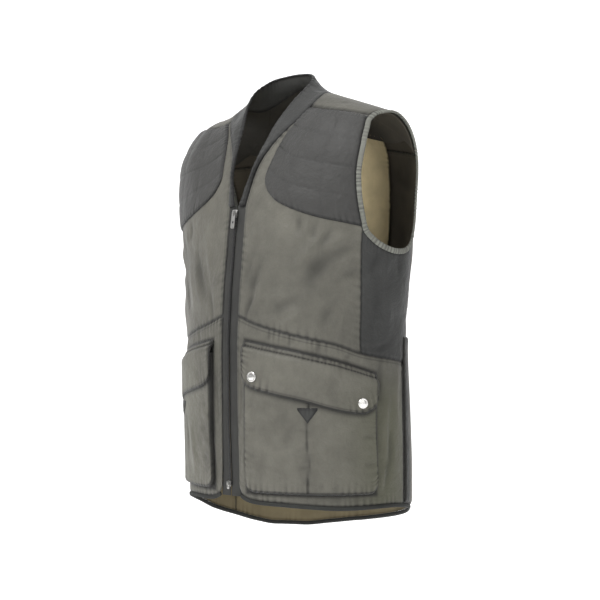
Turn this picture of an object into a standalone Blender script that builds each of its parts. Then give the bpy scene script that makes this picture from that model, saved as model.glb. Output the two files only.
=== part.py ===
"""A sleeveless shooting gilet in waxed cloth, filled out as when it is worn.

The cloth follows one body form. A place on it is an angle round the body (0 at the centre front, 90 at
the wearer's left side, 180 at the centre back) and a level below the shoulder ridge. Every piece is a
wall drawn between its seam lines on that form, so pieces that share a seam line meet along it.
Sizes in the tables are millimetres; meshes are made in metres. The wearer's left is +X, the front is -Y.
"""
import math
from collections import namedtuple

import bmesh
import bpy
from mathutils import Matrix, Vector

MM = 0.001

# Cloth and seams
CLOTH = 1.4
SEAM_GAP = 0.3
LAY_ON = 0.8
FACING_DROP = 2.4
BINDING_WIDTH = 8.5
BINDING_THICKNESS = 3.6
HEM_WIDTH = 6.4
HEM_THICKNESS = 3.2

# Zip and front edges
FRONT_EDGE_X = 19.3
ZIP_TOP = -184.0
ZIP_BOTTOM = -626.0
TEETH_HALF = 3.0
TEETH_THICKNESS = 2.6
TAPE_THICKNESS = 1.0

# Pockets
POCKET_DEPTH = 7.6
POCKET_LEFT = 10.0
POCKET_RIGHT = 80.3
MOUTH_BELOW_FLAP = 20.0
GUSSET_RISE = (0.0, 0.75, 1.0)
STUD_RADIUS = 8.2
GAME_POCKET_DEPTH = 9.0
GAME_POCKET_SIDE_DEPTH = 3.2
FLAP_STEP = 17.0

# The body form: half width, depth in front and behind, and how square each section is
Section = namedtuple("Section", "level half_width front_depth back_depth side_y front_power back_power")
SECTIONS = (
    Section(0, 236, 92, 98, -10, 2.20, 2.2),
    Section(-60, 234, 108, 112, -8, 2.20, 2.2),
    Section(-120, 229, 122, 120, -5, 2.25, 2.2),
    Section(-170, 223, 131, 122, -3, 2.30, 2.2),
    Section(-210, 218, 137, 119, 0, 2.30, 2.2),
    Section(-256, 213, 142, 114, 0, 2.20, 2.2),
    Section(-330, 206, 149, 113, 0, 2.10, 2.2),
    Section(-400, 198, 152, 119, 0, 2.10, 2.2),
    Section(-500, 195.5, 151, 134, 0, 2.10, 2.2),
    Section(-600, 195.5, 147, 140, 0, 2.10, 2.2),
    Section(-710, 195.5, 146, 141, 0, 2.10, 2.2),
)
NECK_POINT = Vector((95.0, -31.0, -4.0))
SHOULDER_TIP = Vector((200.0, -2.0, -38.5))
SLOPE_FADE = 190.0
NECK_SOFTNESS = 25.0
NECK_RISE = 12.0
NECK_RISE_WIDTH = 50.0
RIGHT_SHOULDER_DROP = 9.0
RIGHT_DROP_X = -125.0
RIGHT_DROP_WIDTH = 50.0

# How far down the rounding of the shoulder reaches, near the neck and near the armhole
Rounding = namedtuple("Rounding", "reach power")
FRONT_NEAR_NECK = Rounding(200, 1.6)
BACK_NEAR_NECK = Rounding(120, 2.0)
NEAR_ARMHOLE = Rounding(100, 2.3)
RIGHT_FRONT_NEAR_ARMHOLE = Rounding(116, 2.0)

# Soft folds: where, how they lean, how long and wide, and how high (hollow when negative)
Fold = namedtuple("Fold", "around level lean length width height")
FOLDS = (
    Fold(24, -300, 62, 160, 40, -2.4),
    Fold(38, -262, 48, 130, 44, 2.2),
    Fold(54, -325, 70, 120, 40, -2.0),
    Fold(-16, -290, -70, 110, 32, -2.6),
    Fold(-24, -300, -64, 110, 34, 2.4),
    Fold(-42, -270, -45, 140, 44, -2.0),
    Fold(80, -300, 84, 150, 40, 2.2),
    Fold(-80, -300, -84, 150, 40, 2.2),
    Fold(98, -345, 20, 100, 44, -2.0),
    Fold(-98, -345, -20, 100, 44, -2.0),
    Fold(150, -290, 40, 200, 70, 2.6),
    Fold(-150, -300, -40, 200, 70, 2.6),
    Fold(174, -200, 80, 180, 64, -2.4),
    Fold(92, -560, 88, 180, 46, 2.6),
    Fold(-92, -560, -88, 180, 46, 2.6),
)

# Seam lines, each a row of places on the body form for the wearer's left half
Place = namedtuple("Place", "around level")
NECK_SEAM = (
    Place(3.4, -180), Place(4.8, -140), Place(6.4, -117), Place(10.5, -87.5), Place(14.8, -63),
    Place(18.4, -40), Place(20.3, -26), Place(21.3, -14), Place(21.3, 0), Place(18.5, 6),
    Place(14.0, 10), Place(7.5, 12.5), Place(0.0, 13.5),
)
NECK_AT_YOKE_SEAM = 6
ARMHOLE = (
    Place(53.2, -11), Place(53.4, -20), Place(55.4, -36), Place(57.3, -72), Place(57.6, -120),
    Place(59.2, -152), Place(62.0, -188), Place(66.0, -220), Place(71.5, -236), Place(79.0, -248),
    Place(88.0, -255), Place(98.0, -254), Place(107.0, -245), Place(114.0, -226), Place(117.0, -190),
    Place(117.3, -150), Place(116.5, -110), Place(115.5, -75), Place(116.5, -45), Place(119.5, -22),
    Place(122.5, -8), Place(124.3, -0.001), Place(124.9, 5), Place(126.8, 11),
)
ARMHOLE_AT_SIDE_FRONT = 7
ARMHOLE_AT_SIDE_BACK = 13
ARMHOLE_AT_BACK_YOKE = 17
YOKE_FRONT_SEAM = (Place(20.3, -26), Place(31.7, -20.6), Place(41.4, -14.7), Place(53.2, -11))
YOKE_BACK_SEAM = (Place(115.5, -75), Place(135, -78), Place(158, -81), Place(180, -82))
SIDE_FRONT_SEAM = (Place(66.0, -220), Place(66.2, -250), Place(68.2, -325), Place(70.6, -405))
SIDE_BACK_SEAM = (Place(114, -226), Place(114.5, -260), Place(116, -330), Place(118, -424))
WAIST_SEAM = (
    Place(4.9, -349), Place(17.0, -364), Place(37.3, -380), Place(56, -391.5), Place(70.6, -405),
    Place(88.5, -413), Place(104.3, -419), Place(118, -424), Place(150, -428), Place(180, -429),
)
WAIST_AT_SIDE_FRONT = 4
WAIST_AT_SIDE = 6
WAIST_AT_SIDE_BACK = 7
HEM_CORNER = (
    Place(5.1, -605), Place(5.4, -613), Place(6.9, -621), Place(10.4, -626.5), Place(16.5, -629),
)
HEM_BOUND_FROM = 2
FRONT_HEM = {
    "left": HEM_CORNER + (
        Place(28.0, -630), Place(42.9, -632), Place(58.1, -634), Place(75.6, -633.5),
        Place(92.6, -633.5), Place(104.3, -636.5)),
    "right": HEM_CORNER + (
        Place(28.0, -629.5), Place(42.9, -632), Place(58.1, -639), Place(75.6, -652),
        Place(92.6, -671), Place(104.3, -681)),
}
BACK_HEM = (
    Place(104.3, -636.5), Place(115, -640), Place(125, -645), Place(140, -657), Place(170, -676.5),
    Place(197, -693), Place(212, -699), Place(228, -699), Place(240, -693.5), Place(255.7, -681),
)
PATCH_INNER = (
    Place(21.3, -27.3), Place(15.9, -64), Place(13.3, -90), Place(11.4, -118), Place(10.4, -140),
    Place(12.4, -158),
)
PATCH_LOWER = (
    Place(12.4, -158), Place(18.6, -176), Place(29.8, -193), Place(40.9, -204), Place(52.9, -212),
    Place(64.9, -219),
)
GAME_POCKET_TOP = (Place(106.2, -382), Place(140, -386), Place(180, -387), Place(220, -386),
                   Place(253.8, -382))
GAME_POCKET_EDGE = 106.2
FLAP_TOP = (Place(9.3, -386), Place(35.6, -401.4), Place(57.4, -416), Place(80.7, -436.4))
FLAP_LOWER = (
    Place(9.6, -436), Place(10.6, -448), Place(15.0, -458), Place(25.6, -466.4), Place(40.6, -476),
    Place(53.7, -487), Place(64.4, -493.5), Place(72.5, -494.4), Place(78.2, -486), Place(80.6, -471),
)
STUDS = {"inner": Place(15.5, -440.7), "outer": Place(70.6, -479.3)}
PLEAT_AROUND = 42.6
TACK_TOP = -487.0
TACK_HEIGHT = 20.0
TACK_WIDTH = 29.0

# The neck band's free edge, left half, from the zip top to the centre back
Edge = namedtuple("Edge", "x y z")
BAND_EDGE = (
    Edge(8.0, -136.5, -179), Edge(12.5, -133, -166), Edge(19.5, -125, -135), Edge(25.0, -114, -107),
    Edge(37.0, -86, -53), Edge(49.0, -66, -22), Edge(57.0, -46, 1), Edge(57.5, -28, 16),
    Edge(46.0, -12, 28), Edge(25.0, 0, 33.5), Edge(0.0, 4, 35.5),
)

BAND_AT_YOKE_SEAM = 0.62

# Quilting of the shoulder patches
QUILT_COLUMNS = 3
QUILT_ROWS = 4
QUILT_HEIGHT = 1.6
PATCH_THICKNESS = 1.6

# Mesh density
Grid = namedtuple("Grid", "columns rows")
FRONT_GRID = Grid(10, 18)
SIDE_GRID = Grid(8, 6)
BACK_GRID = Grid(18, 12)
SKIRT_GRID = Grid(13, 10)
PATCH_GRID = Grid(12, 16)
FLAP_GRID = Grid(12, 5)
YOKE_ACROSS = 5
YOKE_FRONT_STEPS = 3
YOKE_OVER_STEPS = 6
FRONT_ARMHOLE_ROWS = 12
BACK_ARMHOLE_ROWS = 7
BAND_BACK_STEPS = 14
ZIP_ROWS = 16
BACK_COLUMNS = 9
BACK_SKIRT_ROWS = 9

# Zip hardware
Slider = namedtuple("Slider", "level length half_width pull_length pull_half_width holes post_up")
SLIDERS = {
    "top": Slider(-186.0, 13.0, 4.6, 25.0, 4.1, 2, True),
    "bottom": Slider(-603.0, 8.6, 3.4, 9.0, 2.6, 1, False),
}
PLATE_THICKNESS = 1.4
PULL_THICKNESS = 1.2
BRIDGE_HALF_WIDTH = 0.9
LEG_THICKNESS = 1.1
EYE_HALF_WIDTH = 1.7
EYE_LENGTH = 5.2
EYE_BAR = 0.7
PIVOT_OUT = 1.9

# Colours as linear red, green, blue, then roughness and metallic
Finish = namedtuple("Finish", "colour roughness metallic")
FINISHES = {
    "olive cloth": Finish((0.155, 0.150, 0.130), 0.75, 0.0),
    "dark cloth": Finish((0.058, 0.060, 0.058), 0.85, 0.0),
    "patch cloth": Finish((0.090, 0.092, 0.088), 0.80, 0.0),
    "inner cloth": Finish((0.030, 0.030, 0.026), 0.90, 0.0),
    "beige lining": Finish((0.200, 0.165, 0.115), 0.85, 0.0),
    "binding": Finish((0.110, 0.112, 0.100), 0.80, 0.0),
    "dark binding": Finish((0.045, 0.046, 0.045), 0.85, 0.0),
    "zip tape": Finish((0.070, 0.070, 0.068), 0.90, 0.0),
    "zip teeth": Finish((0.015, 0.015, 0.016), 0.45, 0.0),
    "bright metal": Finish((0.720, 0.720, 0.710), 0.25, 1.0),
}


def ease(t):
    """Smooth step from 0 to 1"""
    t = min(max(t, 0.0), 1.0)
    return t * t * (3.0 - 2.0 * t)


def column_slopes(levels, column):
    """Slopes of a smooth line through one column that never overshoots its rows"""
    steps = [(column[k + 1] - column[k]) / (levels[k + 1] - levels[k]) for k in range(len(levels) - 1)]
    inner = [0.0 if a * b <= 0 else 2 * a * b / (a + b) for a, b in zip(steps, steps[1:])]
    return [steps[0]] + inner + [steps[-1]]


SECTION_LEVELS = [row.level for row in reversed(SECTIONS)]
SECTION_COLUMNS = list(zip(*[tuple(row)[1:] for row in reversed(SECTIONS)]))
SECTION_SLOPES = [column_slopes(SECTION_LEVELS, column) for column in SECTION_COLUMNS]


def section_at(level):
    """The body section at any level"""
    level = min(max(level, SECTION_LEVELS[0]), SECTION_LEVELS[-1])
    k = max(i for i in range(len(SECTION_LEVELS) - 1) if SECTION_LEVELS[i] <= level)
    step = SECTION_LEVELS[k + 1] - SECTION_LEVELS[k]
    t = (level - SECTION_LEVELS[k]) / step
    rise = ease(t)
    start = t * (1 - t) ** 2 * step
    end = t * t * (t - 1) * step
    values = [c[k] + (c[k + 1] - c[k]) * rise + start * s[k] + end * s[k + 1]
              for c, s in zip(SECTION_COLUMNS, SECTION_SLOPES)]
    return Section(level, *values)


RIDGE_SLOPE = (NECK_POINT.z - SHOULDER_TIP.z) / (SHOULDER_TIP.x - NECK_POINT.x)


def ridge_at(x):
    """Depth and height of the shoulder ridge at a distance from the centre"""
    share = (abs(x) - NECK_POINT.x) / (SHOULDER_TIP.x - NECK_POINT.x)
    y = NECK_POINT.y + (SHOULDER_TIP.y - NECK_POINT.y) * min(max(share, -0.3), 1.3)
    fall = RIDGE_SLOPE * (math.hypot(x, NECK_SOFTNESS) - math.hypot(NECK_POINT.x, NECK_SOFTNESS))
    rise = NECK_RISE * math.exp(-(x / NECK_RISE_WIDTH) ** 2)
    drop = RIGHT_SHOULDER_DROP * math.exp(-((x - RIGHT_DROP_X) / RIGHT_DROP_WIDTH) ** 2)
    return y, NECK_POINT.z - fall + rise - drop


def form_point(around, level):
    """A point of the plain body form; a level above 0 runs on over the ridge to the other side"""
    if around > 180.0:
        around -= 360.0
    if level > 0:
        around = math.copysign(180.0 - abs(around), around)
        level = -level
    section = section_at(level)
    angle = math.radians(abs(around))
    front = math.cos(angle) >= 0
    power = section.front_power if front else section.back_power
    depth = -section.front_depth if front else section.back_depth
    x = math.copysign(section.half_width * math.sin(angle) ** (2 / power), around)
    y = section.side_y + depth * abs(math.cos(angle)) ** (2 / power)
    near = FRONT_NEAR_NECK if front else BACK_NEAR_NECK
    far = RIGHT_FRONT_NEAR_ARMHOLE if front and x < 0 else NEAR_ARMHOLE
    outward = ease((abs(x) - 60) / 90)
    reach = near.reach + (far.reach - near.reach) * outward
    power = near.power + (far.power - near.power) * outward
    share = (1 - (1 - min(-level / reach, 1.0)) ** power) ** (1 / power)
    ridge_y, ridge_z = ridge_at(x)
    return Vector((x, ridge_y + (y - ridge_y) * share, level + ridge_z * ease(1 + level / SLOPE_FADE)))


def form_normal(around, level):
    """Outward direction of the body form"""
    along = form_point(around + 0.5, level) - form_point(around - 0.5, level)
    up = form_point(around, level + 1.0) - form_point(around, level - 1.0)
    return along.cross(up).normalized()


def fold_height(around, level):
    """Height of the soft folds at a place"""
    height = 0.0
    here = form_point(around, level)
    for fold in FOLDS:
        there = form_point(fold.around, fold.level)
        if (here - there).length > fold.length:
            continue
        turn = (around - fold.around + 180) % 360 - 180
        run = math.copysign(math.hypot(here.x - there.x, here.y - there.y), turn)
        drop = here.z - there.z
        lean = math.radians(fold.lean)
        along = run * math.cos(lean) + drop * math.sin(lean)
        across = run * math.sin(lean) - drop * math.cos(lean)
        taper = ease(1 - abs(along) / (fold.length / 2))
        height += fold.height * taper * math.exp(-(across / (fold.width / 2)) ** 2)
    return height


def cloth_point(place, out=0.0):
    """A point of the worn cloth, moved out from the body form"""
    lift = out + fold_height(place.around, place.level)
    return form_point(*place) + form_normal(*place) * lift


def around_at(x, level):
    """The angle of the front of the form at a distance from the centre"""
    section = section_at(level)
    share = min(abs(x) / section.half_width, 1.0) ** (section.front_power / 2)
    return math.copysign(math.degrees(math.asin(share)), x)


def level_on(rows, around):
    """Level of a line at an angle round the body, smooth between its rows"""
    angles = [row.around for row in rows]
    levels = [row.level for row in rows]
    slopes = column_slopes(angles, levels)
    k = max(i for i in range(len(angles) - 1) if angles[i] <= max(around, angles[0]) + 1e-9)
    step = angles[k + 1] - angles[k]
    t = min((around - angles[k]) / step, 1.0)
    return (levels[k] + (levels[k + 1] - levels[k]) * ease(t)
            + t * (1 - t) ** 2 * step * slopes[k] + t * t * (t - 1) * step * slopes[k + 1])


def blend_rows(a, b, c, d, t):
    """A smooth curve between b and c that looks ahead to a and d"""
    mixed = []
    for p, q, r, s in zip(a, b, c, d):
        mixed.append(0.5 * (2 * q + (r - p) * t + (2 * p - 5 * q + 4 * r - s) * t * t
                            + (3 * q - p - 3 * r + s) * t ** 3))
    return Place(*mixed)


def seam(rows, first=0, last=None):
    """A smooth line through a table of places, walked evenly from one row to another as 0 goes to 1"""
    last = len(rows) - 1 if last is None else last
    fine = 8
    walk = []
    for k in range(first, last):
        before = rows[max(k - 1, 0)]
        after = rows[min(k + 2, len(rows) - 1)]
        for j in range(fine + (k == last - 1)):
            walk.append(blend_rows(before, rows[k], rows[k + 1], after, j / fine))
    lengths = [0.0]
    for a, b in zip(walk, walk[1:]):
        lengths.append(lengths[-1] + (form_point(*b) - form_point(*a)).length)

    def at(t):
        goal = min(max(t, 0.0), 1.0) * lengths[-1]
        k = max(i for i in range(len(walk) - 1) if lengths[i] <= goal + 1e-9)
        share = (goal - lengths[k]) / max(lengths[k + 1] - lengths[k], 1e-9)
        return Place(*[a + (b - a) * share for a, b in zip(walk[k], walk[k + 1])])
    return at


def joined(parts):
    """Several lines, each with its share of the steps, walked one after the other"""
    def at(t):
        for line, start, end in parts:
            if t <= end + 1e-9:
                return line((t - start) / (end - start))
        return parts[-1][0](1.0)
    return at


def raised(rows, lift):
    """A table of places moved up by a height"""
    return tuple(Place(row.around, row.level + lift) for row in rows)


def fill(bottom, top, start, end, grid):
    """Places between four seam lines: bottom and top run start to end, the sides run bottom to top"""
    corners = bottom(0), bottom(1), top(0), top(1)
    rows = []
    for j in range(grid.rows + 1):
        v = j / grid.rows
        row = []
        for i in range(grid.columns + 1):
            u = i / grid.columns
            place = []
            for k in range(2):
                ruled = (1 - v) * bottom(u)[k] + v * top(u)[k] + (1 - u) * start(v)[k] + u * end(v)[k]
                corner = ((1 - u) * (1 - v) * corners[0][k] + u * (1 - v) * corners[1][k]
                          + (1 - u) * v * corners[2][k] + u * v * corners[3][k])
                place.append(ruled - corner)
            row.append(Place(*place))
        rows.append(row)
    return rows


def inset(points, gap):
    """A grid of points with its rim drawn in, so that neighbours stay apart at the seam"""
    rows = [list(row) for row in points]
    last_row = len(points) - 1
    last_column = len(points[0]) - 1
    for j, row in enumerate(points):
        for i, point in enumerate(row):
            for edge, other in ((i == 0, (j, 1)), (i == last_column, (j, last_column - 1)),
                                (j == 0, (1, i)), (j == last_row, (last_row - 1, i))):
                if edge:
                    inward = points[other[0]][other[1]] - point
                    rows[j][i] = rows[j][i] + inward.normalized() * gap
    return rows


def material(name):
    """One material for each kind of cloth or metal"""
    found = bpy.data.materials.get(name)
    if found:
        return found
    made = bpy.data.materials.new(name)
    made.use_nodes = True
    finish = FINISHES[name]
    shader = made.node_tree.nodes["Principled BSDF"]
    shader.inputs["Base Color"].default_value = (*finish.colour, 1.0)
    shader.inputs["Roughness"].default_value = finish.roughness
    shader.inputs["Metallic"].default_value = finish.metallic
    made.diffuse_color = (*finish.colour, 1.0)
    return made


def add_object(name, shape, finish, smooth=True):
    """A named object from a bmesh whose points are in millimetres"""
    bmesh.ops.scale(shape, vec=(MM, MM, MM), verts=shape.verts)
    bmesh.ops.recalc_face_normals(shape, faces=shape.faces)
    mesh = bpy.data.meshes.new(name)
    shape.to_mesh(mesh)
    shape.free()
    if smooth:
        mesh.shade_smooth()
        mesh.set_sharp_from_angle(angle=math.radians(40))
    mesh.materials.append(material(finish))
    made = bpy.data.objects.new(name, mesh)
    GARMENT.objects.link(made)
    return made


def wall(name, outside, inside, finish):
    """A closed wall between an outer and an inner grid of points"""
    shape = bmesh.new()
    sheets = []
    for points in (outside, inside):
        sheets.append([[shape.verts.new(point) for point in row] for row in points])
    rows = len(outside)
    columns = len(outside[0])
    for j in range(rows - 1):
        for i in range(columns - 1):
            for sheet, step in zip(sheets, (1, -1)):
                corners = [sheet[j][i], sheet[j][i + 1], sheet[j + 1][i + 1], sheet[j + 1][i]]
                shape.faces.new(corners[::step])
    rim = [(0, i) for i in range(columns)] + [(j, columns - 1) for j in range(1, rows)]
    rim += [(rows - 1, i) for i in range(columns - 2, -1, -1)] + [(j, 0) for j in range(rows - 2, 0, -1)]
    for (j, i), (q, p) in zip(rim, rim[1:] + rim[:1]):
        shape.faces.new([sheets[0][q][p], sheets[0][j][i], sheets[1][j][i], sheets[1][q][p]])
    return add_object(name, shape, finish)


def cloth_piece(name, places, finish, out=0.0, thickness=CLOTH, gap=SEAM_GAP, relief=None):
    """A piece of cloth on the form; relief(i, j) lifts its outer points only"""
    outside = []
    inside = []
    for j, row in enumerate(places):
        lift = [relief(i, j) if relief else 0.0 for i in range(len(row))]
        level_out = [out(place) if callable(out) else out for place in row]
        outside.append([cloth_point(place, o + r) for place, o, r in zip(row, level_out, lift)])
        inside.append([cloth_point(place, o - thickness) for place, o in zip(row, level_out)])
    return wall(name, inset(outside, gap), inset(inside, gap), finish)


def ring_section(half_thickness, half_width):
    """A flattened round section, as across and along the width"""
    return [(0, -half_width), (half_thickness, -half_width * 0.5), (half_thickness, half_width * 0.5),
            (0, half_width), (-half_thickness, half_width * 0.5), (-half_thickness, -half_width * 0.5)]


def strip(name, centres, normals, sides, half_thickness, half_width, finish, loop=False):
    """A bound edge: a flattened round section carried along a line"""
    shape = bmesh.new()
    rings = []
    for centre, normal, side in zip(centres, normals, sides):
        rings.append([shape.verts.new(centre + normal * t + side * w)
                      for t, w in ring_section(half_thickness, half_width)])
    pairs = list(zip(rings, rings[1:])) + ([(rings[-1], rings[0])] if loop else [])
    count = len(rings[0])
    for a, b in pairs:
        for k in range(count):
            shape.faces.new([a[k], a[(k + 1) % count], b[(k + 1) % count], b[k]])
    if not loop:
        shape.faces.new(rings[0])
        shape.faces.new(rings[-1][::-1])
    return add_object(name, shape, finish)


def edge_frames(places, inward, loop=False):
    """Points, normals and sideways directions along an edge of the cloth"""
    points = [cloth_point(place, -CLOTH / 2) for place in places]
    normals = [form_normal(*place) for place in places]
    sides = []
    for k in range(len(points)):
        before = points[k - 1] if loop or k else points[0]
        after = points[(k + 1) % len(points)] if loop or k < len(points) - 1 else points[-1]
        sides.append((after - before).cross(normals[k]).normalized() * inward)
    return points, normals, sides


def side_name(name, side):
    """Node names end in left or right as worn"""
    return f"{name}_{'left' if side > 0 else 'right'}"


def make_fronts():
    """Upper fronts, from the zip and neck to the armhole and side panel, down to the waist seam"""
    rows = FRONT_GRID.rows
    zip_rows = 6
    armhole_rows = FRONT_ARMHOLE_ROWS
    zip_edge = seam([Place(around_at(FRONT_EDGE_X, z), z) for z in (-349, -300, -250, -210, -180)])
    neck = seam(NECK_SEAM, 0, NECK_AT_YOKE_SEAM)
    armhole = seam(ARMHOLE, 0, ARMHOLE_AT_SIDE_FRONT)
    side_seam = seam(SIDE_FRONT_SEAM)
    inner = joined([(zip_edge, 0, zip_rows / rows), (neck, zip_rows / rows, 1)])
    outer = joined([(lambda t: side_seam(1 - t), 0, 1 - armhole_rows / rows),
                    (lambda t: armhole(1 - t), 1 - armhole_rows / rows, 1)])
    waist = seam(WAIST_SEAM, 0, WAIST_AT_SIDE_FRONT)
    places = fill(waist, seam(YOKE_FRONT_SEAM), inner, outer, FRONT_GRID)
    for side in (1, -1):
        turned = [[Place(side * p.around, p.level) for p in row] for row in places]
        cloth_piece(side_name("front", side), turned, "olive cloth")


def make_patches():
    """Quilted shoulder patches lying on the upper fronts"""
    armhole = seam(ARMHOLE, 0, ARMHOLE_AT_SIDE_FRONT)
    top = seam([Place(21.3, -27.3), Place(31.7, -21.8), Place(41.4, -16.2), Place(53.4, -13)])
    inner = seam(PATCH_INNER)
    places = fill(seam(PATCH_LOWER), top, lambda t: inner(1 - t),
                  lambda t: armhole(1 - 0.03 - 0.94 * t), PATCH_GRID)

    def quilting(i, j):
        across = abs(math.sin(math.pi * QUILT_COLUMNS * i / PATCH_GRID.columns))
        down = abs(math.sin(math.pi * QUILT_ROWS * j / PATCH_GRID.rows))
        return QUILT_HEIGHT * math.sqrt(across * down)

    out = LAY_ON + PATCH_THICKNESS
    for side in (1, -1):
        turned = [[Place(side * p.around, p.level) for p in row] for row in places]
        cloth_piece(side_name("shoulder_patch", side), turned, "patch cloth", out=out,
                    thickness=PATCH_THICKNESS, relief=quilting)


def over_shoulder(place):
    """A place on the back written as a run over the ridge from the front"""
    if place.around > 90:
        return Place(180 - place.around, abs(place.level))
    return place


def yoke_places(back_seam, steps_over, steps_back):
    """The yoke's left half between the neck seam and the armhole, then the back seam"""
    neck_front = seam(NECK_SEAM, NECK_AT_YOKE_SEAM, 8)
    neck_back = seam(NECK_SEAM, 8, len(NECK_SEAM) - 1)
    tip = [Place(55.7, 0.0)]
    front = seam([Place(53.2, -11), Place(53.6, -5), tip[0]])
    back = seam([tip[0]] + [over_shoulder(ARMHOLE[k]) for k in (20, 19, 18, 17)])
    along_back = seam([over_shoulder(place) for place in back_seam])
    rows = []
    front_steps = YOKE_FRONT_STEPS
    for k in range(front_steps + steps_over + steps_back + 1):
        if k <= front_steps:
            near = neck_front(k / front_steps)
            far = front(k / front_steps)
        elif k <= front_steps + steps_over:
            near = neck_back(0.4 * (k - front_steps) / steps_over)
            far = back((k - front_steps) / steps_over)
        else:
            t = (k - front_steps - steps_over) / steps_back
            near = neck_back(0.4 + 0.6 * t)
            far = along_back(t)
        rows.append([Place(*[a + (b - a) * i / YOKE_ACROSS for a, b in zip(near, far)])
                     for i in range(YOKE_ACROSS + 1)])
    seam_row = seam(YOKE_FRONT_SEAM)
    rows[0] = [seam_row(i / YOKE_ACROSS) for i in range(YOKE_ACROSS + 1)]
    return rows


def both_halves(rows):
    """A grid that ends at the centre back, carried on to the other side"""
    other = [[Place(-p.around, p.level) for p in row] for row in reversed(rows[:-1])]
    return rows + other


def make_yoke():
    """Shoulder yoke over both shoulders and the upper back, and its dark facing inside"""
    columns = BACK_GRID.columns // 2
    places = both_halves(yoke_places(YOKE_BACK_SEAM, YOKE_OVER_STEPS, columns))
    cloth_piece("yoke", places, "olive cloth")
    facing = both_halves(yoke_places(raised(YOKE_BACK_SEAM, 16), YOKE_OVER_STEPS, columns))
    cloth_piece("yoke_facing", facing, "inner cloth", out=-CLOTH - FACING_DROP, thickness=1.2, gap=1.5)


def make_back():
    """Back panel from the yoke seam to the waist, and the beige lining inside it"""
    half = BACK_GRID.columns // 2
    armhole = seam(ARMHOLE, ARMHOLE_AT_SIDE_BACK, ARMHOLE_AT_BACK_YOKE)
    side_seam = seam(SIDE_BACK_SEAM)
    rows = BACK_GRID.rows
    share = BACK_ARMHOLE_ROWS / rows
    side = joined([(lambda t: side_seam(1 - t), 0, 1 - share), (armhole, 1 - share, 1)])
    places = fill(seam(WAIST_SEAM, WAIST_AT_SIDE_BACK), seam(YOKE_BACK_SEAM), side,
                  lambda t: Place(180, WAIST_SEAM[-1].level + t * (YOKE_BACK_SEAM[-1].level
                                                                   - WAIST_SEAM[-1].level)),
                  Grid(half, rows))
    whole = [row + [Place(-p.around, p.level) for p in reversed(row[:-1])] for row in places]
    cloth_piece("back", whole, "olive cloth")
    lining = []
    for j in range(9):
        level = -408 + (408 - 68) * j / 8
        half_width = 26.0 - (3.0 if j == 8 else 0.0)
        lining.append([Place(180 - half_width + 2 * half_width * i / 8, level) for i in range(9)])
    cloth_piece("back_lining", lining, "beige lining", out=-CLOTH - LAY_ON, thickness=1.0)


def make_sides():
    """Dark panels under the arms"""
    armhole = seam(ARMHOLE, ARMHOLE_AT_SIDE_FRONT, ARMHOLE_AT_SIDE_BACK)
    front_seam = seam(SIDE_FRONT_SEAM)
    back_seam = seam(SIDE_BACK_SEAM)
    places = fill(seam(WAIST_SEAM, WAIST_AT_SIDE_FRONT, WAIST_AT_SIDE_BACK), armhole,
                  lambda t: front_seam(1 - t), lambda t: back_seam(1 - t), SIDE_GRID)
    for side in (1, -1):
        turned = [[Place(side * p.around, p.level) for p in row] for row in places]
        cloth_piece(side_name("side_panel", side), turned, "dark cloth")


def make_skirts():
    """Front skirts below the waist seam, with a round corner at the zip"""
    for side in (1, -1):
        hem = FRONT_HEM["left" if side > 0 else "right"]
        edge = seam([Place(around_at(FRONT_EDGE_X, z), z) for z in (-349, -430, -520)] + [hem[0]])
        waist = WAIST_SEAM[WAIST_AT_SIDE]
        share = FRONT_GRID.columns / SKIRT_GRID.columns
        top = joined([(seam(WAIST_SEAM, 0, WAIST_AT_SIDE_FRONT), 0, share),
                      (seam(WAIST_SEAM, WAIST_AT_SIDE_FRONT, WAIST_AT_SIDE), share, 1)])
        places = fill(seam(hem), top, lambda t: edge(1 - t),
                      lambda t: Place(hem[-1].around, hem[-1].level + t * (waist.level - hem[-1].level)),
                      SKIRT_GRID)
        turned = [[Place(side * p.around, p.level) for p in row] for row in places]
        cloth_piece(side_name("skirt", side), turned, "olive cloth")


def tray_steps(length, rise, count):
    """Shares of a length with two close steps at each end, for a gusset"""
    first = rise / length
    inner = [first * 2.2 + (1 - first * 4.4) * k / count for k in range(count + 1)]
    return [0.0, first] + inner + [1 - first, 1.0]


def back_angles():
    """Columns that the back skirt and the game pocket share, from left to right"""
    width = 2 * (180 - GAME_POCKET_EDGE)
    return [GAME_POCKET_EDGE + width * t for t in tray_steps(640.0, 3.0, 2 * BACK_COLUMNS)]


def make_back_skirt():
    """Back skirt, longer than the front, and the game pocket's layer that stands off it"""
    waist = WAIST_SEAM[WAIST_AT_SIDE:] + tuple(
        Place(360 - p.around, p.level) for p in reversed(WAIST_SEAM[WAIST_AT_SIDE:-1]))
    columns = [BACK_HEM[0].around] + back_angles() + [BACK_HEM[-1].around]
    places = []
    for j in range(BACK_SKIRT_ROWS + 1):
        share = j / BACK_SKIRT_ROWS
        places.append([Place(a, level_on(BACK_HEM, a) * (1 - share) + level_on(waist, a) * share)
                       for a in columns])
    cloth_piece("back_skirt", places, "olive cloth")
    down = tray_steps(280.0, 3.0, BACK_SKIRT_ROWS)[:-2]
    pocket = []
    for v in down:
        share = v / down[-1]
        pocket.append([Place(a, (level_on(BACK_HEM, a) + 2.0) * (1 - share)
                             + level_on(GAME_POCKET_TOP, a) * share) for a in back_angles()])
    last = len(back_angles()) - 1

    def proud(i, j):
        rise = GUSSET_RISE[min(i, last - i, 2)] * GUSSET_RISE[min(j, 2)]
        inward = ease(min(i, last - i) / BACK_COLUMNS * 2.2)
        depth = GAME_POCKET_SIDE_DEPTH + (GAME_POCKET_DEPTH - GAME_POCKET_SIDE_DEPTH) * inward
        return LAY_ON + CLOTH + (depth - LAY_ON - CLOTH) * rise

    tray(pocket, proud, "game_pocket", "olive cloth")


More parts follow.
